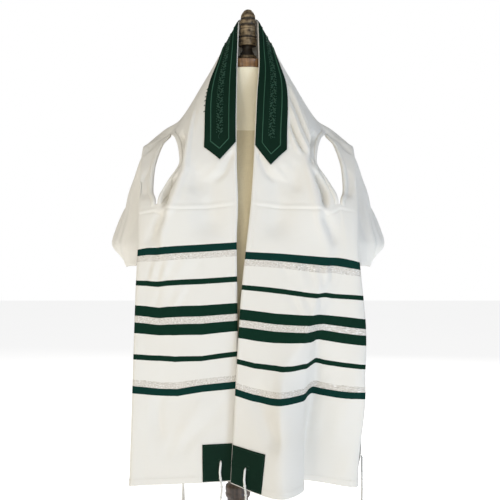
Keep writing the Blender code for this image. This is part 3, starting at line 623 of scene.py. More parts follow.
def relief(side: Side, out: Array, down: Array, width: Array) -> Array:
    """Height of a front's folds and of its hem, none of it under what is sewn on.

    Args:
        side: Which front.
        out: Metres out from the neck edge.
        down: Metres down from the neck.
        width: Metres out of the outer edge, at the same places.

    Returns:
        One height for each place.
    """
    height = FOLD_BOOST * sum(f.height(out, down) for f in SHARED_FOLDS + SIDE_FOLDS[side])
    slack = smoothstep(0.50, 0.75, down) * smoothstep(0.24, 0.30, out)
    height += 0.0018 * np.sin(out * 95 + 0.8 * np.sin(down * 9)) * slack
    height *= 1 - smoothstep(HEM_S - 0.030, HEM_S - 0.016, down) * 0.6
    height += HEM_LIFT * smoothstep(HEM_S - HEM_DEPTH - 0.001, HEM_S - HEM_DEPTH + 0.001, down)
    below = smoothstep(BAND_FOOT_S + BAND_POINT, BAND_FOOT_S + BAND_POINT + 0.02, down)
    strip = 1 - smoothstep(EDGE_DEPTH - 0.0008, EDGE_DEPTH + 0.0008, out)
    height += HEM_LIFT * 0.8 * strip * below
    band = 1 - smoothstep(BAND_REACH, BAND_REACH + 0.012, out)
    band *= 1 - smoothstep(band_end(side, out), band_end(side, out) + 0.006, down)
    top = HEM_S - PATCH_HEM - PATCH_HEIGHT
    patched = smoothstep(top - 0.006, top - 0.001, down)
    inner = 1 - smoothstep(PATCH_REACH + 0.001, PATCH_REACH + 0.006, out)
    outer = smoothstep(width - PATCH_REACH - 0.006, width - PATCH_REACH - 0.001, out)
    return height * (1 - band) * (1 - patched * np.maximum(inner, outer))


# ---- mesh helpers ----
def new_object(name: str, bm: BMesh, finish: Material) -> Object:
    """A smooth piece that rides on the body.

    Args:
        name: The piece's name.
        bm: Its mesh, which is freed.
        finish: Its material.

    Returns:
        The object.
    """
    mesh = bpy.data.meshes.new(name)
    bm.to_mesh(mesh)
    bm.free()
    mesh.shade_smooth()
    mesh.materials.append(finish)
    made = bpy.data.objects.new(name, mesh)
    bpy.context.scene.collection.objects.link(made)
    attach(made, BODY)
    LOG.info("%s: %d faces", name, len(mesh.polygons))
    return made


def sheet_bmesh(points: Array, uvs: Array, cut: Array | None = None) -> BMesh:
    """A grid of cloth whose corners lie at the given points.

    Args:
        points: Rows and columns of points.
        uvs: Cloth distances of each point, in metres.
        cut: Whether each cell is left out.

    Returns:
        The sheet, one face thick, its outer side facing out.
    """
    rows, columns = points.shape[:2]
    bm = bmesh.new()
    layer = bm.loops.layers.uv.new("cloth")
    bmesh.ops.create_grid(bm, x_segments=columns - 1, y_segments=rows - 1, size=0.5)
    place = {}
    for v in bm.verts:
        j = round((v.co.x + 0.5) * (columns - 1))
        i = round((v.co.y + 0.5) * (rows - 1))
        place[v] = (i, j)
        v.co = points[i, j]
    for face in bm.faces:
        for loop in face.loops:
            loop[layer].uv = uvs[place[loop.vert]]
    if cut is not None:
        gone = [f for f in bm.faces
                if cut[min(place[v][0] for v in f.verts), min(place[v][1] for v in f.verts)]]
        bmesh.ops.delete(bm, geom=gone, context="FACES")
    bmesh.ops.reverse_faces(bm, faces=bm.faces)
    return bm


def wall(made: Object, thickness: float) -> None:
    """Give a sheet its thickness, half on each side.

    Args:
        made: The sheet.
        thickness: Its wall.
    """
    solid = made.modifiers.new("wall", "SOLIDIFY")
    solid.thickness = thickness
    solid.offset = 0.0
    solid.use_even_offset = False


def sweep(bm: BMesh, points: Sequence[Vector], radii: Sequence[float],
          sides: int = 8, flat: float = 1.0) -> None:
    """Add a closed tube along points.

    Args:
        bm: The mesh to add to; its "cord" UV is (turns round, metres along).
        points: The middle line.
        radii: The radius at each point.
        sides: Corners of the tube's section.
        flat: Thickness as a share of its width.
    """
    layer = bm.loops.layers.uv.verify()
    ring = bmesh.ops.create_circle(bm, segments=sides, radius=1.0, cap_ends=False)["verts"]
    unit = [v.co.copy() for v in ring]
    across = None
    along = 0.0
    for k, (point, radius) in enumerate(zip(points, radii)):
        ahead = (points[min(k + 1, len(points) - 1)] - points[max(k - 1, 0)]).normalized()
        if across is None:
            across = ahead.orthogonal().normalized()
        across = (across - ahead * across.dot(ahead)).normalized()
        frame = (across, ahead.cross(across))
        if k:
            edges = list({e for v in ring for e in v.link_edges if e.other_vert(v) in ring})
            made = bmesh.ops.extrude_edge_only(bm, edges=edges)["geom"]
            fresh = [g for g in made if isinstance(g, bmesh.types.BMVert)]
            order = {v: min(fresh, key=lambda w, v=v: (w.co - v.co).length) for v in ring}
            last, step = ring, (point - points[k - 1]).length
            ring = [order[v] for v in ring]
            turn = {v: n / sides for n, v in enumerate(ring)}
            turn.update({v: n / sides for n, v in enumerate(last)})
            for g in made:
                if isinstance(g, bmesh.types.BMFace):
                    shares = [turn[lp.vert] for lp in g.loops]
                    wrap = max(shares) - min(shares) > 0.5
                    for lp, share in zip(g.loops, shares):
                        share += 1.0 if wrap and share < 0.5 else 0.0
                        lp[layer].uv = (share, along + (step if lp.vert in ring else 0.0))
            along += step
        for v, u in zip(ring, unit):
            v.co = point + frame[0] * (u.x * radius) + frame[1] * (u.y * radius * flat)
        if k == 0:
            bm.faces.new(ring)
    bm.faces.new(ring)


def turned(bm: BMesh, profile: Sequence[tuple[float, float]], steps: int = 64) -> None:
    """Add a lathe-turned solid.

    Args:
        bm: The mesh to add to.
        profile: (radius, height) from the foot to the top.
        steps: Sides of the turned solid.
    """
    verts = [bm.verts.new((r, 0.0, z)) for r, z in profile]
    edges = [bm.edges.new(pair) for pair in zip(verts, verts[1:])]
    bmesh.ops.spin(bm, geom=verts + edges, cent=(0, 0, 0), axis=(0, 0, 1), angle=math.tau,
                   steps=steps, use_merge=True, use_duplicate=False)
    bmesh.ops.remove_doubles(bm, verts=bm.verts, dist=1e-6)
    bmesh.ops.holes_fill(bm, edges=[e for e in bm.edges if e.is_boundary], sides=0)
    bmesh.ops.recalc_face_normals(bm, faces=bm.faces)


def lean_x(z: float | Array) -> float | Array:
    """Sideways place of the stand's axis at a height."""
    return -FORM_LEAN * (FORM_TOP_Z - z)


def lean(bm: BMesh) -> None:
    """Lean a piece that stands on the axis x = 0 with the rest of the stand."""
    shear = Matrix(((1, 0, FORM_LEAN, lean_x(0.0)), (0, 1, 0, 0), (0, 0, 1, 0), (0, 0, 0, 1)))
    bmesh.ops.transform(bm, matrix=shear, verts=bm.verts)


# ---- materials ----
Socket = bpy.types.NodeSocket
Colour = tuple[int, int, int]
Rgba = tuple[float, float, float, float]
BLACK, WHITE = (0.0, 0.0, 0.0, 1.0), (1.0, 1.0, 1.0, 1.0)


def linear(colour: Colour) -> Rgba:
    """A display colour, 0 to 255 each, as a linear one.

    Args:
        colour: Red, green and blue.

    Returns:
        The colour for a shader.
    """
    channels = [c / 255 for c in colour]
    made = [c / 12.92 if c <= 0.04045 else ((c + 0.055) / 1.055) ** 2.4 for c in channels]
    return *made, 1.0


class Graph:
    """Builds one material's nodes."""

    def __init__(self, name: str) -> None:
        """Start a material with its Principled shader.

        Args:
            name: Its name.
        """
        self.material = bpy.data.materials.new(name)
        self.material.use_nodes = True
        self.tree = self.material.node_tree
        self.shader = self.tree.nodes["Principled BSDF"]

    def node(self, kind: str, inputs: dict | None = None, **settings: object) -> bpy.types.Node:
        """Add a node.

        Args:
            kind: Its type, without the leading ShaderNode.
            inputs: Values or sockets for its inputs, by name or number.
            **settings: Its own properties.

        Returns:
            The node.
        """
        made = self.tree.nodes.new("ShaderNode" + kind)
        for key, value in settings.items():
            setattr(made, key, value)
        for key, value in (inputs or {}).items():
            self.put(made.inputs[key], value)
        return made

    def surface(self, name: str, value: object) -> None:
        """Link a socket to the shader's input, or set the input's own value."""
        self.put(self.shader.inputs[name], value)

    def put(self, socket: Socket, value: object) -> None:
        """Link a socket to an input, or set its value.

        Args:
            socket: The input.
            value: A socket or a plain value.
        """
        if isinstance(value, Socket):
            self.tree.links.new(value, socket)
        else:
            socket.default_value = value

    def math(self, operation: str, *values: object, clamp: bool = False) -> Socket:
        """The result of a Math node."""
        made = self.node("Math", dict(enumerate(values)), operation=operation, use_clamp=clamp)
        return made.outputs[0]

    def noise(self, vector: Socket, scale: float, detail: float = 2.0,
              stretch: tuple[float, float, float] = (1, 1, 1)) -> Socket:
        """Noise from 0 to 1, stretched by scaling its coordinates.

        Args:
            vector: Coordinates.
            scale: Scale of the noise.
            detail: Its octaves.
            stretch: Factors on the coordinates.

        Returns:
            The noise.
        """
        mapped = self.node("Mapping", {"Vector": vector, "Scale": stretch}).outputs[0]
        made = self.node("TexNoise", {"Vector": mapped, "Scale": scale, "Detail": detail})
        return made.outputs["Fac"]

    def steps(self, value: Socket, stops: Sequence[tuple[float, tuple]],
              interpolation: str = "CONSTANT") -> Socket:
        """Colour of a ColorRamp at a value from 0 to 1.

        Args:
            value: Place on the ramp.
            stops: Rising (position, colour) pairs.
            interpolation: How the ramp runs between stops.

        Returns:
            The colour.
        """
        made = self.node("ValToRGB", {0: value})
        ramp = made.color_ramp
        ramp.interpolation = interpolation
        ramp.elements[0].position, ramp.elements[0].color = stops[0]
        ramp.elements.remove(ramp.elements[1])
        for position, colour in stops[1:]:
            ramp.elements.new(position).color = colour
        return made.outputs["Color"]

    def blend(self, share: object, first: object, second: object, how: str = "MIX") -> Socket:
        """Two colours mixed.

        Args:
            share: Share of the second.
            first: One colour.
            second: The other.
            how: Blend type.

        Returns:
            The mixed colour.
        """
        made = self.node("Mix", data_type="RGBA", blend_type=how)
        for name, value in (("Factor_Float", share), ("A_Color", first), ("B_Color", second)):
            socket = next(s for s in made.inputs if s.identifier == name)
            self.put(socket, value)
        return next(s for s in made.outputs if s.identifier == "Result_Color")

    def bump(self, height: Socket, distance: float, strength: float = 1.0,
             under: Socket | None = None) -> Socket:
        """A bumped normal.

        Args:
            height: Height from 0 to 1.
            distance: Metres that 1 stands for.
            strength: How much of it shows.
            under: Normal to start from.

        Returns:
            The normal.
        """
        inputs = {"Height": height, "Distance": distance, "Strength": strength}
        if under is not None:
            inputs["Normal"] = under
        return self.node("Bump", inputs).outputs["Normal"]

    def object_place(self) -> Socket:
        """Object coordinates."""
        return self.node("TexCoord").outputs["Object"]

    def cloth_place(self, layer: str = "cloth") -> tuple[Socket, Socket, Socket]:
        """The piece's own UV.

        Args:
            layer: The UV map's name.

        Returns:
            The vector, its metres across and its metres along.
        """
        place = self.node("UVMap", uv_map=layer).outputs["UV"]
        parts = self.node("SeparateXYZ", {0: place})
        return place, parts.outputs["X"], parts.outputs["Y"]

    def weave(self, across: Socket, along: Socket, pitch: float, twill: bool) -> Socket:
        """Height of a woven ground, from 0 to 1.

        Args:
            across: Metres across.
            along: Metres along.
            pitch: Metres from thread to thread.
            twill: Whether its lines slant.

        Returns:
            The height.
        """
        u = self.math("MULTIPLY", across, math.tau / pitch)
        v = self.math("MULTIPLY", along, math.tau / pitch)
        first = self.math("SINE", self.math("ADD", u, v) if twill else u)
        second = self.math("SINE", v)
        mixed = self.math("MULTIPLY_ADD", first, 0.6 if twill else 0.5, 0.5)
        return self.math("MULTIPLY_ADD", second, 0.2 if twill else 0.5, mixed)


@dataclass(frozen=True)
class StripedWool:
    """The shawl's cloth: cream twill with green and silver stripes woven in."""

    cream: Colour = (231, 230, 224)
    warm: Colour = (226, 222, 212)
    slubs: Colour = (208, 202, 190)
    outer_green: Colour = (6, 45, 42)
    middle_green: Colour = (9, 38, 27)
    fresh_green: Colour = (24, 62, 47)
    silver: Colour = (218, 213, 203)
    # painted highlight: bright specks on the silver stripes
    glint: Colour = (246, 245, 241)
    tarnish: Colour = (146, 140, 130)
    centre_up: float = 0.335     # middle of the stripes above the hem
    span: float = 0.200          # half height of the striped zone
    silver_half: float = 0.007
    wide_to: float = 0.0283
    thin_from: float = 0.0704
    thin_to: float = 0.0816
    outer_from: float = 0.1225
    outer_mid: float = 0.1356
    outer_to: float = 0.1502
    twill: float = 0.0011
    roughness: float = 0.90
    gloss: float = 0.07

    def stops(self, cloth: Rgba, middle: Rgba, outer: Rgba, silver: Rgba) -> list:
        """Ramp stops, from the middle of the stripes outwards.

        Args:
            cloth: Value on the ground.
            middle: Value on the middle and thin stripes.
            outer: Value on the outermost stripes.
            silver: Value on the silver stripes.

        Returns:
            (position, value) pairs.
        """
        places = [(0.0, silver), (self.silver_half, middle), (self.wide_to, cloth),
                  (self.thin_from, middle), (self.thin_to, cloth), (self.outer_from, silver),
                  (self.outer_mid, outer), (self.outer_to, cloth)]
        return [(place / self.span, value) for place, value in places]

    def ground(self, g: Graph, place: Socket, slub: Socket) -> Socket:
        """Colour of the cream ground.

        Args:
            g: The material's nodes.
            place: Coordinates on the cloth.
            slub: Uneven thickness of the warp.

        Returns:
            The colour.
        """
        cloud = g.noise(place, 7.0, 3.0)
        cloth = g.blend(cloud, linear(self.cream), linear(self.warm))
        return g.blend(g.math("MULTIPLY", slub, 0.12), cloth, linear(self.slubs))

    def tinsel(self, g: Graph, place: Socket, weft: Socket) -> Socket:
        """Colour of the silver stripes, flecked with painted glints and with dull threads.

        Args:
            g: The material's nodes.
            place: Coordinates on the cloth.
            weft: Uneven thickness of the weft.

        Returns:
            The colour.
        """
        # painted glints: sparse bright specks stand in for light caught by the metal thread
        speck = g.noise(place, 620.0, 2.0, (0.5, 1, 1))
        silver = g.blend(g.math("GREATER_THAN", speck, 0.58), linear(self.silver),
                         linear(self.glint))
        dull = g.math("GREATER_THAN", g.noise(place, 480.0, 2.0, (0.6, 1, 1)), 0.60)
        silver = g.blend(g.math("MULTIPLY", dull, 0.5), silver, linear(self.tarnish))
        return g.blend(g.math("MULTIPLY", weft, 0.30), silver, linear(self.tarnish))

    def make(self) -> Material:
        """Build the material.

        Returns:
            The material.
        """
        g = Graph("striped_wool")
        place, across, up = g.cloth_place()
        fray = g.math("MULTIPLY_ADD", g.noise(place, 900.0), 0.0008, -0.0004)
        away = g.math("ABSOLUTE", g.math("SUBTRACT", g.math("ADD", up, fray), self.centre_up))
        share = g.math("DIVIDE", away, self.span, clamp=True)
        slub = g.noise(place, 60.0, 4.0, (1, 14, 1))
        weft = g.noise(place, 60.0, 4.0, (14, 1, 1))
        is_middle = g.steps(share, self.stops(BLACK, WHITE, BLACK, BLACK))
        is_outer = g.steps(share, self.stops(BLACK, BLACK, WHITE, BLACK))
        is_silver = g.steps(share, self.stops(BLACK, BLACK, BLACK, WHITE))
        fresh = g.math("MULTIPLY", weft, 0.45)
        middle = g.blend(fresh, linear(self.middle_green), linear(self.fresh_green))
        outer = g.blend(fresh, linear(self.outer_green), linear(self.fresh_green))
        colour = g.blend(is_middle, self.ground(g, place, slub), middle)
        colour = g.blend(is_outer, colour, outer)
        colour = g.blend(is_silver, colour, self.tinsel(g, place, weft))
        g.surface("Base Color", colour)
        rough = g.math("MULTIPLY_ADD", is_silver, -0.40, self.roughness)
        g.surface("Roughness", g.math("MULTIPLY_ADD", slub, 0.06, rough))
        g.surface("Metallic", g.math("MULTIPLY", is_silver, 0.12))
        g.surface("Specular IOR Level", self.gloss)
        woven = g.bump(g.weave(across, up, self.twill, twill=True), 0.0003, 0.30)
        stripe = g.math("ADD", g.math("ADD", is_middle, is_outer), is_silver)
        raised = g.bump(stripe, 0.0003, 0.5, woven)
        g.surface("Normal", g.bump(g.noise(place, 35.0, 3.0), 0.0012, 0.2, raised))
        return g.material


@dataclass(frozen=True)
class RibbedSatin:
    """Dark green satin of the neckband and the corner patches."""

    name: str = "green_satin"
    colour: Colour = (2, 25, 15)
    light: Colour = (15, 50, 35)
    rib: float = 0.0009
    roughness: float = 0.62
    gloss: float = 0.10

    def make(self) -> Material:
        """Build the material.

        Returns:
            The material.
        """
        g = Graph(self.name)
        place, across, up = g.cloth_place()
        streak = g.noise(place, 80.0, 4.0, (10, 1, 1))
        cloud = g.noise(place, 22.0, 3.0)
        mixed = g.math("MULTIPLY", g.math("ADD", streak, cloud), 0.36)
        g.surface("Base Color", g.blend(mixed, linear(self.colour), linear(self.light)))
        g.surface("Roughness", g.math("MULTIPLY_ADD", streak, 0.12, self.roughness))
        g.surface("Specular IOR Level", self.gloss)
        woven = g.bump(g.weave(across, up, self.rib, twill=False), 0.0002, 0.35)
        g.surface("Normal", g.bump(cloud, 0.0015, 0.25, woven))
        return g.material


@dataclass(frozen=True)
class Thread:
    """Thread of stitches, embroidery, piping and cords."""

    name: str
    colour: Colour
    shade: Colour
    roughness: float = 0.7
    gloss: float = 0.2
    twist: float = 0.0

    def make(self) -> Material:
        """Build the material; twist is the lay of a twisted cord, in metres.

        Returns:
            The material.
        """
        g = Graph(self.name)
        place = g.object_place()
        fine = g.noise(place, 1800.0, 2.0)
        cloud = g.noise(place, 90.0, 3.0)
        if self.twist:
            _, turns, along = g.cloth_place("cord")
            phase = g.math("ADD", g.math("MULTIPLY", turns, math.tau * 2),
                           g.math("MULTIPLY", along, math.tau / self.twist))
            fine = g.math("MULTIPLY_ADD", g.math("SINE", phase), 0.5, 0.5)
        share = g.math("MULTIPLY", g.math("ADD", fine, cloud), 0.5)
        g.surface("Base Color", g.blend(share, linear(self.shade), linear(self.colour)))
        g.surface("Roughness", self.roughness)
        g.surface("Specular IOR Level", self.gloss)
        g.surface("Normal", g.bump(fine, 0.0003, 0.5))
        return g.material


@dataclass(frozen=True)
class Linen:
    """Linen of the form, painted lighter on the neck, where more light falls, and darker on the
    body below the seam, as painted shade.
    """

    # painted light: the neck's two creams are lighter than the body's two, which carry painted
    # shade
    colour: Colour = (252, 245, 222)
    shade: Colour = (238, 228, 196)
    shaded_body_colour: Colour = (238, 226, 192)
    shaded_body_dark: Colour = (207, 194, 161)
    seam_z: float = 1.254
    pitch: float = 0.0012

    def make(self) -> Material:
        """Build the material.

        Returns:
            The material.
        """
        g = Graph("form_linen")
        place, across, up = g.cloth_place()
        warp = g.noise(place, 90.0, 4.0, (8, 1, 1))
        weft = g.noise(place, 90.0, 4.0, (1, 8, 1))
        mixed = g.math("MULTIPLY", g.math("ADD", warp, weft), 0.5)
        neck = g.blend(mixed, linear(self.colour), linear(self.shade))
        body = g.blend(mixed, linear(self.shaded_body_colour), linear(self.shaded_body_dark))
        height = g.node("SeparateXYZ", {0: g.object_place()}).outputs["Z"]
        # painted light on the neck above the seam, painted shade on the body below it
        is_lit_neck = g.math("GREATER_THAN", height, self.seam_z)
        g.surface("Base Color", g.blend(is_lit_neck, body, neck))
        g.surface("Roughness", g.math("MULTIPLY_ADD", mixed, 0.12, 0.82))
        g.surface("Specular IOR Level", 0.15)
        woven = g.bump(g.weave(across, up, self.pitch, twill=False), 0.0004, 0.4)
        g.surface("Normal", g.bump(mixed, 0.0008, 0.4, woven))
        return g.material


@dataclass(frozen=True)
class TurnedWood:
    """Stained wood with its grain along the turning."""

    name: str = "turned_wood"
    colour: Colour = (84, 66, 52)
    dark: Colour = (38, 28, 21)
    roughness: float = 0.42

    def make(self) -> Material:
        """Build the material.

        Returns:
            The material.
        """
        g = Graph(self.name)
        place = g.object_place()
        grain = g.noise(place, 30.0, 6.0, (6, 6, 0.6))
        pores = g.noise(place, 220.0, 3.0, (5, 5, 0.5))
        share = g.steps(grain, [(0.35, BLACK), (0.65, WHITE)], "LINEAR")
        colour = g.blend(share, linear(self.dark), linear(self.colour))
        colour = g.blend(g.math("MULTIPLY", pores, 0.4), colour, linear(self.dark))
        g.surface("Base Color", colour)
        g.surface("Roughness", g.math("MULTIPLY_ADD", pores, 0.2, self.roughness))
        g.surface("Coat Weight", 0.25)
        g.surface("Coat Roughness", 0.25)
        g.surface("Normal", g.bump(pores, 0.0006, 0.4))
        return g.material


@dataclass(frozen=True)
class AgedBronze:
    """Bronze-painted turning, worn lighter and darker in patches, with painted shade darkening its
    grooves.
    """

    colour: Colour = (150, 131, 100)
    dark: Colour = (44, 32, 18)
    # painted shade: the near-black colour of the grooves, and the heights of the grooves that get
    # it
    groove: Colour = (16, 11, 7)
    shaded_levels: tuple[tuple[float, float], ...] = ((1.4265, 1.4472), (1.4650, 1.4674),
                                                    (1.4925, 1.4962), (1.5055, 1.5085))
    soft: float = 0.0012

    def grooves(self, g: Graph, height: Socket) -> Socket:
        """How much painted shade each level gets in the grooves, from 0 to 1.

        Args:
            g: The material's nodes.
            height: Height over the floor.

        Returns:
            A grey that is white where a groove gets painted shade.
        """
        bottom, top = self.shaded_levels[0][0] - 0.02, self.shaded_levels[-1][1] + 0.02
        share = g.node("MapRange", {"Value": height, "From Min": bottom, "From Max": top})
        stops = [(0.0, BLACK)]
        for low, high in self.shaded_levels:
            for level, value in ((low - self.soft, BLACK), (low, WHITE), (high, WHITE),
                                 (high + self.soft, BLACK)):
                stops.append(((level - bottom) / (top - bottom), value))
        return g.steps(share.outputs[0], stops, "LINEAR")

    def make(self) -> Material:
        """Build the material.

        Returns:
            The material.
        """
        g = Graph("aged_bronze")
        place = g.object_place()
        wear = g.noise(place, 120.0, 5.0)
        rings = g.noise(place, 60.0, 3.0, (0.3, 0.3, 9))
        share = g.math("MULTIPLY", g.math("ADD", wear, rings), 0.5)
        share = g.steps(share, [(0.38, BLACK), (0.60, WHITE)], "LINEAR")
        colour = g.blend(share, linear(self.dark), linear(self.colour))
        height = g.node("SeparateXYZ", {0: place}).outputs["Z"]
        # painted shade: the grooves are darkened almost to black, where shadow falls
        colour = g.blend(g.math("MULTIPLY", self.grooves(g, height), 0.85), colour,
                         linear(self.groove))
        g.surface("Base Color", colour)
        g.surface("Metallic", 0.35)
        g.surface("Roughness", g.math("MULTIPLY_ADD", wear, 0.25, 0.38))
        g.surface("Normal", g.bump(wear, 0.0005, 0.4))
        return g.material


@dataclass(frozen=True)
class PaleFloor:
    """Plain pale studio floor."""

    colour: Rgba = (0.90, 0.90, 0.90, 1.0)
    shade: Rgba = (0.86, 0.86, 0.86, 1.0)
    lift: float = 0.72

    def make(self) -> Material:
        """Build the material.

        Returns:
            The material.
        """
        g = Graph("pale_floor")
        share = g.noise(g.object_place(), 0.8, 2.0)
        g.surface("Base Color", g.blend(share, self.colour, self.shade))
        g.surface("Roughness", 0.9)
        g.surface("Specular IOR Level", 0.2)
        g.surface("Emission Color", WHITE)
        g.surface("Emission Strength", self.lift)
        return g.material


# ---- stitches ----
def add_stitches(bm: BMesh, places: Array, along: Array, half: float, thick: float) -> None:
    """Add a row of stitches.

    Args:
        bm: The mesh to add to.
        places: Their middles.
        along: Their directions.
        half: Half the length of one.
        thick: Its radius.
    """
    size = Matrix.Diagonal((half, thick, thick, 1.0))
    for here, way in zip(places, along):
        turn = Vector(way).to_track_quat("X", "Z").to_matrix().to_4x4()
        bmesh.ops.create_icosphere(bm, subdivisions=1, radius=1.0,
                                   matrix=Matrix.Translation(here) @ turn @ size)


# ---- the shawl ----
@dataclass
class ShawlCloth:
    """The body cloth, one continuous sheet from hem to hem round the neck."""

    drape: Drape
    finish: Material
    thread: Material
    tacking: Material
    cells: tuple[int, ...] = (14, 17, 15, 9, 10, 12, 16)
    bunching: tuple[float, ...] = (1.0, 1.0, 1.5, 1.0, -1.5, 1.0, 1.2)
    fine_places: tuple[float, ...] = (0.110, 0.128, 0.145)
    # ribs along a front: from, to, and the step between them
    ribs: tuple[tuple[float, float, float], ...] = (
        (SEAM_S, ARM_TOP_S, 0.0050), (ARM_TOP_S, 0.476, 0.0041), (0.476, 0.508, 0.0020),
        (0.508, HEM_TOP_S, 0.0080), (HEM_TOP_S, HEM_S, 0.0020))
    back_ribs: int = 53
    rib_room: float = 0.0012         # kept clear at an arm opening's foot
    # stripeless cloth, from the stripes' middle, which hangs lower on the right
    plain: tuple[tuple[float, float], ...] = ((0.034, 0.062), (0.090, 0.115), (0.155, HEM_S))
    right_lower: float = 0.012
    stitch_pitch: float = 0.0042
    stitch_half: float = 0.0014
    stitch_thick: float = 0.00035
    tacks: tuple[float, ...] = (0.188, 0.200, 0.213, 0.226, 0.240, 0.256)
    tack_out: float = 1.045          # as a place across, just past the neckband
    tack_half: float = 0.0022
    tack_thick: float = 0.0011

    def rows(self) -> Array:
        """Places of the ribs along the cloth, left hem to right hem.

        Returns:
            Rising places s.
        """
        half = np.concatenate([np.arange(start, end - 0.0008, step)
                               for start, end, step in self.ribs])
        half = half[np.abs(half - ARM_FOOT_S) > self.rib_room]
        half = np.sort(np.append(half, (ARM_FOOT_S, HEM_S)))
        back = np.linspace(-SEAM_S, SEAM_S, self.back_ribs + 2)[1:-1]
        return np.concatenate([-half[::-1], back, half])

    def columns(self) -> Array:
        """Places across the cloth, counted in guide lines.

        Returns:
            Rising places t.
        """
        places = list(self.fine_places)
        for span, (count, bunch) in enumerate(zip(self.cells, self.bunching)):
            shares = np.arange(count) / count
            shares = shares ** -bunch if bunch < 0 else 1 - (1 - shares) ** bunch
            places += list(span + shares)
        return np.unique(np.array(places + [float(len(self.cells))]).round(6))

    def height(self, rows: Array, across: Array) -> Array:
        """Height of the folds and hems over the whole grid.

        Args:
            rows: Places s of the rows.
            across: Metres out of each point.

        Returns:
            One height for each.
        """
        fan = sum(depth * np.exp(-((rows - place) / half) ** 2)
                  for place, depth, half in BACK_FOLDS)
        fan *= 1 - smoothstep(SEAM_S - 0.014, SEAM_S, np.abs(rows))
        made = fan[:, None] * smoothstep(BAND_REACH + 0.015, BAND_REACH + 0.12, across)
        for side in Side:
            here = rows * side.value >= SEAM_S - ON_BACK
            down = np.broadcast_to(np.abs(rows[here])[:, None], across[here].shape)
            made[here] = relief(side, across[here], down, across[here][:, -1:])
            made[here] *= smoothstep(SEAM_S, SEAM_S + 0.03, down)
        return made

    def weft(self, rows: Array, columns: Array) -> Array:
        """Place of each point along the warp, where the weft bows with the drape.

        Args:
            rows: Places s of the rows.
            columns: Places t of the columns.

        Returns:
            Metres up from the hem, in the flat cloth.
        """
        bow = np.zeros((len(rows), len(columns)))
        for side, table in STRIPE_BOW.items():
            here = rows * side.value >= table[0][0]
            values = rows_at(table, np.abs(rows[here]))
            bow[here] = [np.interp(columns, BOW_PLACES, row) for row in values]
        return HEM_S - np.abs(rows)[:, None] - bow

    def build(self) -> None:
        """Build the cloth with its hems, folds and stitching."""
        rows, columns = self.rows(), self.columns()
        points = self.drape.place(rows[:, None], columns[None, :])
        normals = self.drape.normal(rows[:, None], columns[None, :])
        across = self.drape.out(rows, columns)
        points += normals * self.height(rows, across)[..., None]
        on_back = np.flatnonzero(zones_of(rows) == 0)
        beyond = columns > len(BACK_LINES) - 1
        for i in on_back:
            beside = on_back[0] - 1 if rows[i] < 0 else on_back[-1] + 1
            points[i, beyond] = points[beside, beyond]
        fixed = self.drape.out(np.array([-0.8]), columns)[0]
        uvs = np.stack([np.broadcast_to(fixed, across.shape), self.weft(rows, columns)], axis=2)
        # no cloth past the back's hem or in the arm openings
        middle = np.abs(rows[:-1] + rows[1:])[:, None] / 2
        cut = (middle < SEAM_S) & (columns >= len(BACK_LINES) - 1 - 1e-6)
        cut |= ((middle > ARM_TOP_S) & (middle < ARM_FOOT_S)
                & (columns >= ARM_LINES[0]) & (columns < ARM_LINES[1] - 1e-6))
        made = new_object("shawl_cloth", sheet_bmesh(points, uvs, cut), self.finish)
        wall(made, CLOTH)
        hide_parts("shawl_back", "shawl_left_front", "shawl_right_front")
        trims = [self.build_stitching(), self.build_tacking()]
        trims += [ArmHem(self.drape, side, self.finish).build() for side in Side]

    def is_plain(self, side: Side, down: Array) -> Array:
        """Where the hem crosses no stripe, so that its cream thread shows.

        Args:
            side: Which front.
            down: Metres down from the neck.

        Returns:
            Whether each place is plain.
        """
        lower = self.right_lower if side is Side.RIGHT else 0.0
        away = np.abs(HEM_S - down + lower - StripedWool.centre_up)
        return np.any([(away > low) & (away < high) for low, high in self.plain], axis=0)

    def stitch_rows(self) -> list[tuple[Array, Array]]:
        """Rows of hem stitches.

        Returns:
            Places s and t of each row.
        """
        rows = []
        for side in Side:
            foot = side.value * (HEM_S - HEM_DEPTH + 0.0015)
            reach = self.drape.out(np.array([foot]), np.arange(8.0))[0]
            out = np.arange(PATCH_REACH + 0.004, reach[-1] - PATCH_REACH - 0.004, self.stitch_pitch)
            t = np.interp(out, reach, np.arange(8.0))
            rows.append((np.full(t.shape, foot), t))
            down = np.arange(BAND_FOOT_S + BAND_POINT + 0.012, HEM_S - PATCH_HEIGHT - 0.006,
                             self.stitch_pitch)
            down = down[self.is_plain(side, down)]
            rows.append((side.value * down, (EDGE_DEPTH - 0.0015) / trim_reach(down)))
            down = np.arange(0.58, HEM_S - PATCH_HEIGHT - 0.006, self.stitch_pitch)
            down = down[self.is_plain(side, down)]
            width = self.drape.out(side.value * down, np.array([6.0, 7.0]))
            t = 7.0 - EDGE_DEPTH / (width[:, 1] - width[:, 0])
            rows.append((side.value * down, t))
        return rows

    def build_stitching(self) -> Object:
        """Stitching of the hems.

        Returns:
            The stitches, as one piece.
        """
        bm = bmesh.new()
        for s, t in self.stitch_rows():
            out = np.array([self.drape.out(s[k:k + 1], t[k:k + 1])[0, 0] for k in range(len(s))])
            side = Side.LEFT if s[0] < 0 else Side.RIGHT
            width = self.drape.out(s, np.array([7.0]))[:, 0]
            lift = relief(side, out, np.abs(s), width) + CLOTH / 2
            places = self.drape.above(s, t, lift)
            add_stitches(bm, places, np.gradient(places, axis=0), self.stitch_half,
                         self.stitch_thick)
        made = new_object("shawl_stitching", bm, self.thread)
        return made

    def build_tacking(self) -> Object:
        """Tacks that hold the neckband's outer edge to the left shoulder.

        Returns:
            The tacks, as one piece.
        """
        bm = bmesh.new()
        s = -np.array(self.tacks)
        places = self.drape.above(s, self.tack_out, CLOTH / 2 + 0.0004)
        ahead = self.drape.above(s - 0.0008, self.tack_out + 0.02, CLOTH / 2 + 0.0004)
        add_stitches(bm, places, ahead - places, self.tack_half, self.tack_thick)
        made = new_object("neckband_tacking", bm, self.tacking)
        return made


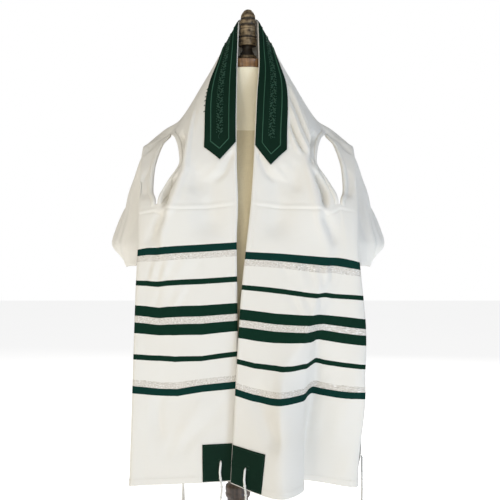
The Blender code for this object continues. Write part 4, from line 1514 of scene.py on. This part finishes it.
@dataclass
class ArmHem:
    """The rolled hem round an arm opening."""

    drape: Drape
    side: Side
    finish: Material
    step: float = 0.0035
    overrun: float = 0.004
    thickness: float = 0.0010
    # metres in from the opening's edge, and height over the middle of the cloth
    roll: tuple[tuple[float, float], ...] = (
        (-0.0014, -0.0012), (-0.0012, 0.0008), (0.0000, 0.0024), (0.0018, 0.0032),
        (0.0040, 0.0033), (0.0062, 0.0028), (0.0078, 0.0019), (0.0088, 0.0008))

    def build(self) -> Object:
        """Build both sides of the hem as one piece.

        Returns:
            The hem.
        """
        bm = self.strip(ARM_LINES[0], inwards=-1)
        other = self.strip(ARM_LINES[1], inwards=1)
        spare = bpy.data.meshes.new("spare")
        other.to_mesh(spare)
        other.free()
        bm.from_mesh(spare)
        bpy.data.meshes.remove(spare)
        made = new_object(f"arm_opening_{self.side.word}_hem", bm, self.finish)
        wall(made, self.thickness)
        return made

    def strip(self, line: int, inwards: int) -> BMesh:
        """One side of the hem.

        Args:
            line: The guide line that bounds the opening.
            inwards: Which way along t the cloth lies from it.

        Returns:
            The strip, one face thick.
        """
        down = np.arange(ARM_TOP_S - self.overrun, ARM_FOOT_S + self.overrun, self.step)
        if self.side is Side.LEFT:
            down = down[::-1]
        s = self.side.value * down
        reach = self.drape.out(s, np.arange(8.0))
        span = np.abs(reach[:, line + inwards] - reach[:, line])
        roll = np.array(self.roll if inwards > 0 else self.roll[::-1])
        t = line + inwards * roll[None, :, 0] / span[:, None]
        out = reach[:, line, None] + inwards * roll[None, :, 0]
        fold = relief(self.side, out, np.broadcast_to(down[:, None], out.shape), reach[:, -1:])
        ends = smoothstep(0.0, 0.012, down - down.min()) * smoothstep(0.0, 0.012, down.max() - down)
        lift = fold + roll[None, :, 1] * (0.35 + 0.65 * ends[:, None])
        points = self.drape.above(s[:, None], t, lift)
        uvs = np.stack(np.broadcast_arrays(out, (HEM_S - down)[:, None]), axis=2)
        return sheet_bmesh(points, uvs)


@dataclass
class Wing:
    """The stretch of the shawl that falls from a shoulder end, outside the arm."""

    side: Side
    finish: Material
    levels: int = 76
    places: int = 44
    fold_depth: float = 0.0038
    hem_depth: float = 0.010
    top_up: float = 0.82             # cloth above the hem where the stretch starts

    def build(self) -> None:
        """Build the wing."""
        heights = np.linspace(WING_ROWS[0].z, WING_ROWS[-1].z, self.levels + 1)
        if self.side is Side.LEFT:
            heights = heights[::-1]
        values = rows_at(list(reversed(WING_ROWS)), heights)
        folds = np.stack([np.stack([self.side.value * values[:, 2 * k], values[:, 2 * k + 1],
                                    heights], axis=1) for k in range(3)], axis=1)
        knots = np.broadcast_to(np.arange(3.0), (len(heights), 3))
        places = np.tile(np.linspace(0, 2, self.places + 1), (len(heights), 1))
        points = hermite(knots, folds, places)
        out = unit(np.cross(np.gradient(points, axis=0), np.gradient(points, axis=1)))
        steps = np.linalg.norm(np.diff(points, axis=1), axis=2)
        across = np.insert(np.cumsum(steps, axis=1), 0, 0.0, axis=1)
        down = (WING_ROWS[0].z - heights)[:, None]
        share = down / down.max()
        wave = np.sin(across * 120 + share * 2.5) + 0.5 * np.sin(across * 210 - share * 3)
        height = self.fold_depth * wave * smoothstep(0.1, 0.6, share)
        height *= np.sin(np.pi * across / across[:, -1:])
        height += HEM_LIFT * smoothstep(down.max() - self.hem_depth - 0.002,
                                        down.max() - self.hem_depth, down)
        points += out * height[..., None]
        uvs = np.stack(np.broadcast_arrays(across + 0.25, self.top_up - down), axis=2)
        made = new_object(f"shawl_{self.side.word}_drop", sheet_bmesh(points, uvs), self.finish)
        wall(made, CLOTH)
        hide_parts(f"shawl_{self.side.word}_wing")


@dataclass
class Neckband:
    """The dark green strip round the neck, pointed at both ends, with its trims."""

    drape: Drape
    satin: Material
    piping: Material
    thread: Material
    lift: float = CLOTH / 2 + 2 * GAP + TRIM / 2
    rows: int = 260
    columns: int = 40
    middle: float = (1 + TRIM_INSET) / 2
    border: float = 0.23             # share of the width outside each piping line
    border_lift: float = 0.0007
    panel_margin: float = 0.0235     # from the inner panel's point up from the band's own
    piping_radius: float = 0.0014
    vine_pitch: float = 0.0120
    vine_sway: float = 0.0026
    vine_from: float = 0.335
    # leaves of one sprig: metres along and across, slant, half length, half width
    leaves: tuple[tuple[float, ...], ...] = (
        (0.0, 0.0042, 0.70, 0.0036, 0.0016), (0.0030, -0.0020, -0.90, 0.0026, 0.0012),
        (0.0020, -0.0064, 0.0, 0.0012, 0.0012))

    def end(self, s: Array, t: Array) -> Array:
        """How far down the band reaches at shares t of its width, on the side of s."""
        out = t * BAND_REACH
        return np.where(s < 0, band_end(Side.LEFT, out), band_end(Side.RIGHT, out))

    def panel_depth(self, s: Array, t: Array) -> Array:
        """How far the inner panel lies below the folded border.

        Args:
            s: Places along the band, negative on the left.
            t: Shares of its width.

        Returns:
            One depth for each.
        """
        low, high = self.border, 1 + TRIM_INSET - self.border
        inside = smoothstep(low - 0.01, low + 0.03, t)
        inside = inside * (1 - smoothstep(high - 0.03, high + 0.01, t))
        past = np.abs(s) - self.end(s, t) + self.panel_margin
        inside = inside * (1 - smoothstep(-0.002, 0.001, past))
        return self.border_lift * inside

    def build(self) -> None:
        """Build the band, its border lines and its embroidery."""
        t = np.linspace(TRIM_INSET, 1.0, self.columns + 1)[None, :]
        share = np.linspace(-1, 1, self.rows + 1)[:, None]
        s = share * self.end(share, t)
        t = np.broadcast_to(t, s.shape)
        edge = np.minimum(t - TRIM_INSET, 1 - t) / 0.04
        roll = 0.0005 * (1 - smoothstep(0.0, 1.0, edge))
        lift = self.lift + self.border_lift - self.panel_depth(s, t) - roll
        points = self.drape.above(s, t, lift)
        uvs = np.stack([t * BAND_REACH, s], axis=2)
        band = new_object("neckband_strip", sheet_bmesh(points, uvs), self.satin)
        wall(band, TRIM)
        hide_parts("neckband")
        trims = [self.build_piping(), self.build_vine()]

    def on_top(self, s: Array, t: Array, over: float) -> Array:
        """Points above the border's outer face."""
        return self.drape.above(s, t, np.full(np.shape(s), self.lift + self.border_lift
                                              + TRIM / 2 + over))

    def build_piping(self) -> Object:
        """Two raised border lines that meet in a point at each end.

        Returns:
            The piping.
        """
        bm = bmesh.new()
        bm.loops.layers.uv.new("cord")
        for border in (self.border, 1 + TRIM_INSET - self.border):
            places = []
            for way in (-1.0, 1.0):
                t = np.linspace(self.middle, border, 6)
                s = way * (self.end(np.full(6, way), t) - self.panel_margin)
                places.append(np.stack([s, t], axis=1))
            first, last = places[0], places[1][::-1]
            s = np.linspace(first[-1, 0], last[0, 0], 170)[1:-1]
            straight = np.stack([s, np.full(s.shape, border)], axis=1)
            line = np.concatenate([first, straight, last])
            line = self.on_top(line[:, 0], line[:, 1], -0.0003)
            sweep(bm, [Vector(p) for p in line], [self.piping_radius] * len(line), sides=6,
                  flat=0.6)
        bmesh.ops.recalc_face_normals(bm, faces=bm.faces)
        made = new_object("neckband_piping", bm, self.piping)
        return made

    def build_vine(self) -> Object:
        """An embroidered vine down the middle: a stem, leaves and berries.

        Returns:
            The embroidery.
        """
        bm = bmesh.new()
        bm.loops.layers.uv.new("cord")
        s = np.linspace(-self.vine_from, self.vine_from, 330)
        t = self.middle + self.vine_sway * np.sin(s * math.pi / self.vine_pitch) / BAND_REACH
        stem = self.on_top(s, t, -self.border_lift + 0.0002)
        sweep(bm, [Vector(p) for p in stem], [0.00055] * len(stem), sides=5)
        count = int(self.vine_from / self.vine_pitch)
        for k in range(-2 * count, 2 * count + 1):
            at = (k + 0.5) * self.vine_pitch / 2
            way = 1 if k % 4 < 2 else -1
            for along, across, slant, length, width in self.leaves:
                self.add_leaf(bm, at + along, self.middle + way * across / BAND_REACH,
                              way * slant, (length, width))
        made = new_object("neckband_embroidery", bm, self.thread)
        return made

    def add_leaf(self, bm: BMesh, s: float, t: float, turn: float,
                 size: tuple[float, float]) -> None:
        """Add one satin-stitched leaf or berry.

        Args:
            bm: The mesh to add to.
            s: Its place along the band.
            t: Its place across it.
            turn: Its slant from the band's length, in radians.
            size: Half its length and half its width.
        """
        if abs(s) > self.vine_from - size[0]:
            return
        here, ahead = self.on_top(np.array([s, s + 0.002]), np.array([t, t]),
                                  -self.border_lift + 0.0001)
        along = Vector(ahead - here).normalized()
        out = Vector(self.drape.normal(s, t))
        across = out.cross(along).normalized()
        frame = Matrix((along, across, out)).transposed().to_4x4()
        shape = Matrix.Rotation(turn, 4, "Z") @ Matrix.Diagonal((*size, 0.0010, 1.0))
        bmesh.ops.create_uvsphere(bm, u_segments=8, v_segments=4, radius=1.0,
                                  matrix=Matrix.Translation(here) @ frame @ shape)


@dataclass
class CornerPatch:
    """A square patch on a corner of the shawl, with its stitching and eyelet."""

    drape: Drape
    side: Side
    corner: Corner
    satin: Material
    thread: Material
    cells: int = 30
    stitch_pitch: float = 0.0034
    stitch_inset: float = 0.040      # as a share of the patch
    eyelet_radius: float = 0.0034
    lift: float = CLOTH / 2 + GAP + TRIM / 2
    creases: tuple[float, ...] = (0.44, 0.54)

    @property
    def word(self) -> str:
        """The corner's name in piece names."""
        return f"{self.side.word}_{self.corner.value}"

    def ends(self) -> tuple[float, float]:
        """Places of the patch across the cloth.

        Returns:
            Places t of its inner and its outer side.
        """
        if self.corner is Corner.INNER:
            return TRIM_INSET, 1.0
        return (self.drape.place_from_outer(self.side, PATCH_REACH),
                self.drape.place_from_outer(self.side, PATCH_REACH - PATCH_WIDTH))

    def place(self, u: Array, v: Array, over: object = 0.0) -> Array:
        """Points over the patch.

        Args:
            u: Shares of its width from its inner side.
            v: Shares of its height from its top.
            over: Metres above the middle of its wall.

        Returns:
            The points.
        """
        start, end = self.ends()
        s = self.side.value * (HEM_S - PATCH_HEM - PATCH_HEIGHT * (1 - v))
        return self.drape.above(s, start + (end - start) * u, self.lift + over)

    def puff(self, u: Array, v: Array) -> Array:
        """Soft height of the patch between its stitches, with its two folded lines.

        Args:
            u: Shares of its width.
            v: Shares of its height.

        Returns:
            One height for each.
        """
        edge = np.minimum(np.minimum(u, 1 - u), np.minimum(v, 1 - v))
        crease = sum(np.exp(-((v - at - 0.02 * u) / 0.018) ** 2) for at in self.creases)
        return 0.0005 * smoothstep(0.02, 0.12, edge) + 0.0007 * crease

    def build(self) -> None:
        """Build the patch, its stitches and its eyelet."""
        shares = np.linspace(0, 1, self.cells + 1)
        down = shares if self.side is Side.RIGHT else shares[::-1]
        v, u = np.meshgrid(down, shares, indexing="ij")
        points = self.place(u, v, self.puff(u, v))
        uvs = np.stack([u * PATCH_WIDTH, v * PATCH_HEIGHT], axis=2)
        patch = new_object(f"patch_{self.word}_cloth", sheet_bmesh(points, uvs), self.satin)
        wall(patch, TRIM)
        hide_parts(f"patch_{self.word}")
        self.build_stitches()

    def build_stitches(self) -> Object:
        """Top stitching round the patch, and the stitched ring of its eyelet.

        Returns:
            The stitches, as one piece.
        """
        bm = bmesh.new()
        inset, count = self.stitch_inset, int(PATCH_WIDTH / self.stitch_pitch)
        run = inset + (1 - 2 * inset) * (np.arange(count) + 0.5) / count
        flat = np.full(count, inset)
        for u, v in ((run, flat), (1 - flat, run), (run, 1 - flat), (flat, run)):
            places = self.place(u, v, TRIM / 2 + 0.0001)
            add_stitches(bm, places, np.gradient(places, axis=0), self.stitch_pitch * 0.36, 0.00032)
        middle_u = (EYELET_IN - TRIM_INSET * PATCH_REACH) / PATCH_WIDTH
        if self.corner is Corner.OUTER:
            middle_u = (PATCH_REACH - EYELET_IN) / PATCH_WIDTH
        middle_v = 1 - (EYELET_UP - PATCH_HEM) / PATCH_HEIGHT
        angles = np.linspace(0, math.tau, 22, endpoint=False)
        rings = [self.place(middle_u + np.cos(angles) * radius / PATCH_WIDTH,
                            middle_v + np.sin(angles) * radius / PATCH_HEIGHT, TRIM / 2 + 0.0004)
                 for radius in (self.eyelet_radius, self.eyelet_radius + 0.001)]
        add_stitches(bm, rings[0], rings[1] - rings[0], 0.0012, 0.00045)
        made = new_object(f"patch_{self.word}_stitching", bm, self.thread)
        return made


@dataclass
class CornerFringe:
    """A knotted, wrapped cord that opens into eight strands."""

    drape: Drape
    side: Side
    corner: Corner
    finish: Material
    seed: int
    strands: int = 8
    strand_radius: float = 0.00095
    strand_length: float = 0.20
    wrap_radius: float = 0.00055
    core_radius: float = 0.0014
    cord_length: float = 0.096
    knots: tuple[float, ...] = (0.034, 0.052, 0.073, 0.096)
    loose: tuple[float, ...] = (0.003, 0.012, 0.022, 0.032)          # drops above the knots
    bound: tuple[float, ...] = (0.044, 0.056, 0.068, 0.080, 0.092)   # drops between them
    sway: float = 0.0020
    sway_length: float = 0.075

    def root(self) -> tuple[Vector, Vector]:
        """Where the cord hangs, and the way that its patch faces.

        Returns:
            The place and the direction.
        """
        s = self.side.value * (HEM_S - EYELET_UP)
        t = EYELET_IN / PATCH_REACH
        if self.corner is Corner.OUTER:
            t = self.drape.place_from_outer(self.side, EYELET_IN)
        point, normal = Vector(self.drape.place(s, t)), Vector(self.drape.normal(s, t))
        normal = Vector((normal.x, normal.y, 0.0)).normalized()
        foot = Vector(self.drape.place(self.side.value * HEM_S, t))
        flare = max((foot - point).dot(normal), 0.0)
        return point + normal * (flare + CLOTH / 2 + 3 * GAP + TRIM + 0.0038), normal

    def build(self) -> None:
        """Build the knots, the wrapping and the strands."""
        rng = random.Random(self.seed)
        root, normal = self.root()
        side = normal.cross(Vector((0, 0, 1))).normalized()
        bm = bmesh.new()
        bm.loops.layers.uv.new("cord")

        def hang(drop: float, angle: float = 0.0, out: float = 0.0) -> Vector:
            """A point of the cord or of the ring round it.

            Args:
                drop: Metres below the eyelet.
                angle: Which way out.
                out: How far out.

            Returns:
                The point.
            """
            bend = self.sway * math.sin(math.tau * drop / self.sway_length)
            bend *= min(drop / 0.02, 1.0)
            ring = side * math.cos(angle) + normal * math.sin(angle)
            return root + side * bend + ring * out + Vector((0, 0, -drop))

        for k in range(self.strands):
            angle = math.tau * k / self.strands
            line = [hang(0.0) - normal * 0.002 + Vector((0, 0, 0.0015))]
            line += [hang(drop, angle, 0.0013) for drop in self.loose]
            line += [hang(drop, angle, 0.0008) for drop in self.bound]
            line += self.strand(hang(self.cord_length), side, normal, angle, rng)
            radii = [self.strand_radius] * (len(line) - 1) + [self.strand_radius * 0.6]
            sweep(bm, line, radii, sides=6)
        for top, foot in zip(self.knots, self.knots[1:]):
            self.add_wrapping(bm, hang, top + 0.003, foot - 0.003)
        for drop in self.knots:
            self.add_knot(bm, hang, drop)
        bmesh.ops.recalc_face_normals(bm, faces=bm.faces)
        made = new_object(f"fringe_{self.side.word}_{self.corner.value}_cords", bm, self.finish)
        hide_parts(f"fringe_{self.side.word}_{self.corner.value}")

    def strand(self, foot: Vector, side: Vector, normal: Vector, angle: float,
               rng: random.Random) -> list[Vector]:
        """The loose end of one strand, below the last knot.

        Args:
            foot: The middle of the last knot.
            side: Along the patch.
            normal: Out from the patch.
            angle: Where in the ring of strands it starts.
            rng: The fringe's own random numbers.

        Returns:
            The points of its middle line.
        """
        heading = side * math.cos(angle) + normal * math.sin(angle)
        phase, spread = rng.uniform(0, math.tau), rng.uniform(0.003, 0.010)
        length = self.strand_length * rng.uniform(0.93, 1.0)
        points = []
        for j in range(1, 15):
            share = j / 14
            drift = heading * (0.0012 + spread * share)
            wave = side * math.sin(phase + share * 7) * 0.0016 * share
            points.append(foot + drift + wave + Vector((0, 0, -length * share)))
        return points

    def add_wrapping(self, bm: BMesh, hang: Callable[..., Vector], top: float, foot: float) -> None:
        """Add the turns of the wrapping strand.

        Args:
            bm: The mesh to add to.
            hang: Gives a point of the cord.
            top: Drop where it starts.
            foot: Drop where it ends.
        """
        turns = round((foot - top) / (self.wrap_radius * 2.3))
        steps = turns * 8
        line = [hang(top + (foot - top) * k / steps, math.tau * turns * k / steps,
                     self.core_radius + 0.0004) for k in range(steps + 1)]
        sweep(bm, line, [self.wrap_radius] * len(line), sides=5)

    def add_knot(self, bm: BMesh, hang: Callable[..., Vector], drop: float) -> None:
        """Add one double knot: two crossed turns of cord.

        Args:
            bm: The mesh to add to.
            hang: Gives a point of the cord.
            drop: Its drop below the eyelet.
        """
        for tilt in (0.5, -0.5):
            angles = [math.tau * k / 16 for k in range(17)]
            line = [hang(drop - tilt * 0.0022 * math.cos(a + tilt), a, 0.0021) for a in angles]
            sweep(bm, line, [0.0010] * len(line), sides=6)


# ---- the form and its stand ----
@dataclass
class DressForm:
    """The limbless linen form with its cap, finial, post and foot."""

    linen: Material
    wood: Material
    cap_wood: Material
    bronze: Material
    sides: int = 128
    levels: int = 230
    seams: tuple[float, ...] = (1.254, 1.387)
    seam_width: float = 0.0022
    princess_seams: tuple[float, ...] = (-2.05, -1.10, 1.05, 2.10)
    chest_creases: tuple[float, ...] = (-0.13, -0.03, 0.09)
    waist_z: float = 1.08
    front_angle: float = -math.pi / 2

    def build(self) -> None:
        """Build every piece of the form."""
        self.build_torso()
        self.build_cap()
        self.build_finial()
        self.build_post()
        self.build_base()

    def puckers(self, z: Array, angle: Array) -> Array:
        """Height of the linen's seams, pull lines and long creases.

        Args:
            z: Heights over the floor.
            angle: Directions round it.

        Returns:
            One height for each.
        """
        seam = -0.0011 * sum(np.exp(-((z - at) / self.seam_width) ** 2) for at in self.seams)
        princess = -0.0010 * sum(np.exp(-((angle - at) / 0.018) ** 2) for at in self.princess_seams)
        pull = np.exp(-((z - self.waist_z) / 0.11) ** 2) * 0.0009
        pull = pull * np.sin(angle * 31 + np.sin(z * 40) * 1.2)
        chest = smoothstep(1.04, 1.10, z) * (1 - smoothstep(1.20, 1.25, z))
        long_folds = -0.0016 * sum(np.exp(-((angle - self.front_angle - at) / 0.035) ** 2)
                                   for at in self.chest_creases)
        return seam + princess + pull + chest * long_folds

    def build_torso(self) -> None:
        """The padded torso and neck."""
        heights = np.linspace(TORSO_RINGS[0].z, TORSO_RINGS[-1].z, self.levels + 1)
        values = rows_at(TORSO_RINGS, heights)
        angle = np.linspace(-math.pi, math.pi, self.sides + 1)[None, :]
        z = heights[:, None]
        grow = self.puckers(z, angle)
        x = lean_x(z) + (values[:, :1] + grow) * np.cos(angle)
        y = values[:, 2:3] + (values[:, 1:2] + grow) * np.sin(angle)
        points = np.stack(np.broadcast_arrays(x, y, z), axis=2)
        uvs = np.stack(np.broadcast_arrays(angle * 0.12, z), axis=2)
        bm = sheet_bmesh(points, uvs)
        bmesh.ops.remove_doubles(bm, verts=bm.verts, dist=1e-5)
        bmesh.ops.holes_fill(bm, edges=[e for e in bm.edges if e.is_boundary], sides=0)
        bmesh.ops.recalc_face_normals(bm, faces=bm.faces)
        made = new_object("form_torso_linen", bm, self.linen)
        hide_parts("form_torso")

    def turned_piece(self, name: str, node: str, profile: Sequence[tuple[float, float]],
                     finish: Material, leaning: bool = True) -> None:
        """Add a turned piece that stands for a node.

        Args:
            name: The piece's name.
            node: The node that it replaces.
            profile: (radius, height) from the foot to the top.
            finish: Its material.
            leaning: Whether it leans with the stand or lies flat under it.
        """
        bm = bmesh.new()
        turned(bm, profile)
        if leaning:
            lean(bm)
        else:
            bmesh.ops.translate(bm, verts=bm.verts, vec=(lean_x(0.0), 0.0, 0.0))
        made = new_object(name, bm, finish)
        made.data.set_sharp_from_angle(angle=math.radians(38))
        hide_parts(node)

    def build_cap(self) -> None:
        """The wooden neck cap."""
        profile = [
            (0.044, 1.393), (0.0466, 1.3936), (0.0476, 1.3952), (0.0478, 1.3975), (0.0472, 1.399),
            (0.0474, 1.409), (0.048, 1.41), (0.048, 1.4112), (0.0468, 1.4124), (0.043, 1.413),
            (0.018, 1.4132)]
        self.turned_piece("form_cap_turned", "form_cap", profile, self.cap_wood)

    def build_finial(self) -> None:
        """The turned finial, a stack of beads and coves."""
        profile = [
            (0.0196, 1.4134), (0.0204, 1.4142), (0.0207, 1.4165), (0.0201, 1.418), (0.0201, 1.4188),
            (0.0207, 1.4205), (0.0207, 1.4235), (0.02, 1.4252), (0.0176, 1.4264), (0.0158, 1.4285),
            (0.0146, 1.4325), (0.0122, 1.435), (0.0111, 1.4385), (0.0111, 1.444), (0.0124, 1.4464),
            (0.017, 1.4476), (0.0192, 1.4486), (0.0203, 1.451), (0.0205, 1.457), (0.0203, 1.462),
            (0.0196, 1.464), (0.0185, 1.465), (0.0184, 1.4662), (0.0192, 1.467), (0.0197, 1.468),
            (0.0197, 1.4696), (0.0188, 1.4708), (0.0172, 1.4716), (0.0169, 1.474), (0.0173, 1.48),
            (0.0174, 1.488), (0.0172, 1.492), (0.0164, 1.4932), (0.0157, 1.4944), (0.0158, 1.4954),
            (0.0165, 1.4966), (0.0168, 1.499), (0.0168, 1.504), (0.0163, 1.5058), (0.0159, 1.507),
            (0.016, 1.5082), (0.0163, 1.51), (0.0155, 1.515), (0.0138, 1.519), (0.0112, 1.523),
            (0.0086, 1.5262), (0.0048, 1.5282), (0.0016, 1.5285)]
        self.turned_piece("form_finial_turned", "form_finial", profile, self.bronze)

    def build_post(self) -> None:
        """The turned post between foot and torso."""
        profile = [
            (0.0335, 0.0314), (0.0342, 0.035), (0.033, 0.04), (0.0305, 0.044), (0.03, 0.052),
            (0.0306, 0.056), (0.0295, 0.062), (0.025, 0.072), (0.0225, 0.086), (0.0208, 0.15),
            (0.0205, 0.3), (0.0218, 0.42), (0.0228, 0.45), (0.0232, 0.456), (0.0258, 0.459),
            (0.0272, 0.462), (0.0276, 0.467), (0.0268, 0.47), (0.0268, 0.471), (0.0276, 0.474),
            (0.0277, 0.48), (0.0268, 0.484), (0.0238, 0.4865), (0.0228, 0.489), (0.0228, 0.492),
            (0.0242, 0.494), (0.0246, 0.499), (0.0238, 0.504), (0.0214, 0.508), (0.021, 0.516),
            (0.021, 0.5595)]
        self.turned_piece("stand_post_turned", "stand_post", profile, self.wood)

    def build_base(self) -> None:
        """The round foot."""
        profile = [
            (0.2025, 0.0), (0.2052, 0.001), (0.2067, 0.003), (0.207, 0.006), (0.207, 0.017),
            (0.2062, 0.02), (0.2046, 0.0222), (0.2018, 0.0236), (0.201, 0.0248), (0.199, 0.0268),
            (0.194, 0.029), (0.185, 0.0306), (0.175, 0.031), (0.036, 0.031)]
        self.turned_piece("stand_base_turned", "stand_base", profile, self.wood,
                          leaning=False)


# ---- the studio ----
class Lamp(NamedTuple):
    """One soft studio light."""

    name: str
    place: tuple[float, float, float]
    watts: float
    size: float
    colour: tuple[float, float, float]


@dataclass
class Studio:
    """Floor, lights, sky and camera."""

    floor_size: float = 30.0
    backdrop: float = 1.0
    sky: float = 0.21
    target: tuple[float, float, float] = (0.0, 0.0, 0.95)
    camera_place: tuple[float, float, float] = (0.004, -1.88, 1.0)
    lens: float = 61.5
    lamps: tuple[Lamp, ...] = (
        Lamp("key", (-2.6, -4.6, 4.2), 66.0, 1.6, (1.0, 0.92, 0.77)),
        Lamp("front", (0.4, -5.4, 1.4), 25.0, 1.2, (1.0, 0.98, 0.95)),
        Lamp("overhead", (0.0, -2.2, 5.2), 15.0, 1.6, (0.95, 0.95, 1.0)),
        Lamp("warm_side", (-3.4, -3.2, 0.7), 26.0, 1.6, (1.0, 0.92, 0.78)),
        Lamp("cool_side", (3.4, -3.2, 0.6), 68.0, 1.6, (0.54, 0.71, 1.0)),
        Lamp("back", (0.8, 4.6, 3.4), 120.0, 2.0, (1.0, 0.98, 0.95)),
    )

    def build(self) -> None:
        """Build the studio."""
        bm = bmesh.new()
        bmesh.ops.create_grid(bm, x_segments=4, y_segments=4, size=self.floor_size / 2)
        new_object("studio_floor", bm, PaleFloor().make())
        for lamp in self.lamps:
            self.add_lamp(lamp)
        bpy.context.scene.world = self.make_sky()
        camera = bpy.data.cameras.new("front")
        camera.lens = self.lens
        made = bpy.data.objects.new("front", camera)
        made.location = self.camera_place
        made.rotation_euler = (math.pi / 2, 0.0, 0.0)
        bpy.context.scene.collection.objects.link(made)
        bpy.context.scene.camera = made
        bpy.context.scene.view_settings.view_transform = "Standard"

    def add_lamp(self, lamp: Lamp) -> None:
        """Hang one light, aimed at the shawl.

        Args:
            lamp: The light.
        """
        data = bpy.data.lights.new(lamp.name, "AREA")
        data.energy, data.size, data.color = lamp.watts, lamp.size, lamp.colour
        made = bpy.data.objects.new(lamp.name, data)
        made.location = lamp.place
        way = Vector(self.target) - Vector(lamp.place)
        made.rotation_euler = way.to_track_quat("-Z", "Y").to_euler()
        bpy.context.scene.collection.objects.link(made)

    def make_sky(self) -> bpy.types.World:
        """A white backdrop whose light on the object is softer than it looks.

        Returns:
            The world.
        """
        world = bpy.data.worlds.new("studio")
        world.use_nodes = True
        tree = world.node_tree
        soft = tree.nodes["Background"]
        soft.inputs["Color"].default_value = WHITE
        soft.inputs["Strength"].default_value = self.sky
        bright = tree.nodes.new("ShaderNodeBackground")
        bright.inputs["Strength"].default_value = self.backdrop
        bright.inputs["Color"].default_value = WHITE
        path = tree.nodes.new("ShaderNodeLightPath")
        mix = tree.nodes.new("ShaderNodeMixShader")
        tree.links.new(path.outputs["Is Camera Ray"], mix.inputs[0])
        tree.links.new(soft.outputs[0], mix.inputs[1])
        tree.links.new(bright.outputs[0], mix.inputs[2])
        tree.links.new(mix.outputs[0], tree.nodes["World Output"].inputs["Surface"])
        return world


def main() -> None:
    """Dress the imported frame."""
    logging.basicConfig(level=logging.INFO, format="%(name)s %(message)s")
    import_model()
    Studio().build()
    wool, satin = StripedWool().make(), RibbedSatin().make()
    piping = Thread("green_piping", (62, 104, 82), (34, 70, 54)).make()
    green_thread = Thread("green_thread", (40, 84, 64), (14, 46, 32), roughness=0.5,
                          gloss=0.4).make()
    cream_thread = Thread("cream_thread", (232, 227, 216), (214, 208, 196)).make()
    cord = Thread("white_cord", (244, 243, 238), (214, 212, 204), roughness=0.75, gloss=0.15,
                  twist=0.0035).make()
    drape = Drape()
    ShawlCloth(drape, wool, cream_thread, green_thread).build()
    Neckband(drape, satin, piping, green_thread).build()
    for number, side in enumerate(Side):
        Wing(side, wool).build()
        for corner in Corner:
            CornerPatch(drape, side, corner, satin, green_thread).build()
            CornerFringe(drape, side, corner, cord, seed=7 * number + 5).build()
    DressForm(Linen().make(), TurnedWood().make(),
              TurnedWood("cap_wood", (150, 112, 70), (82, 56, 34)).make(),
              AgedBronze().make()).build()


if __name__ == "__main__":
    main()
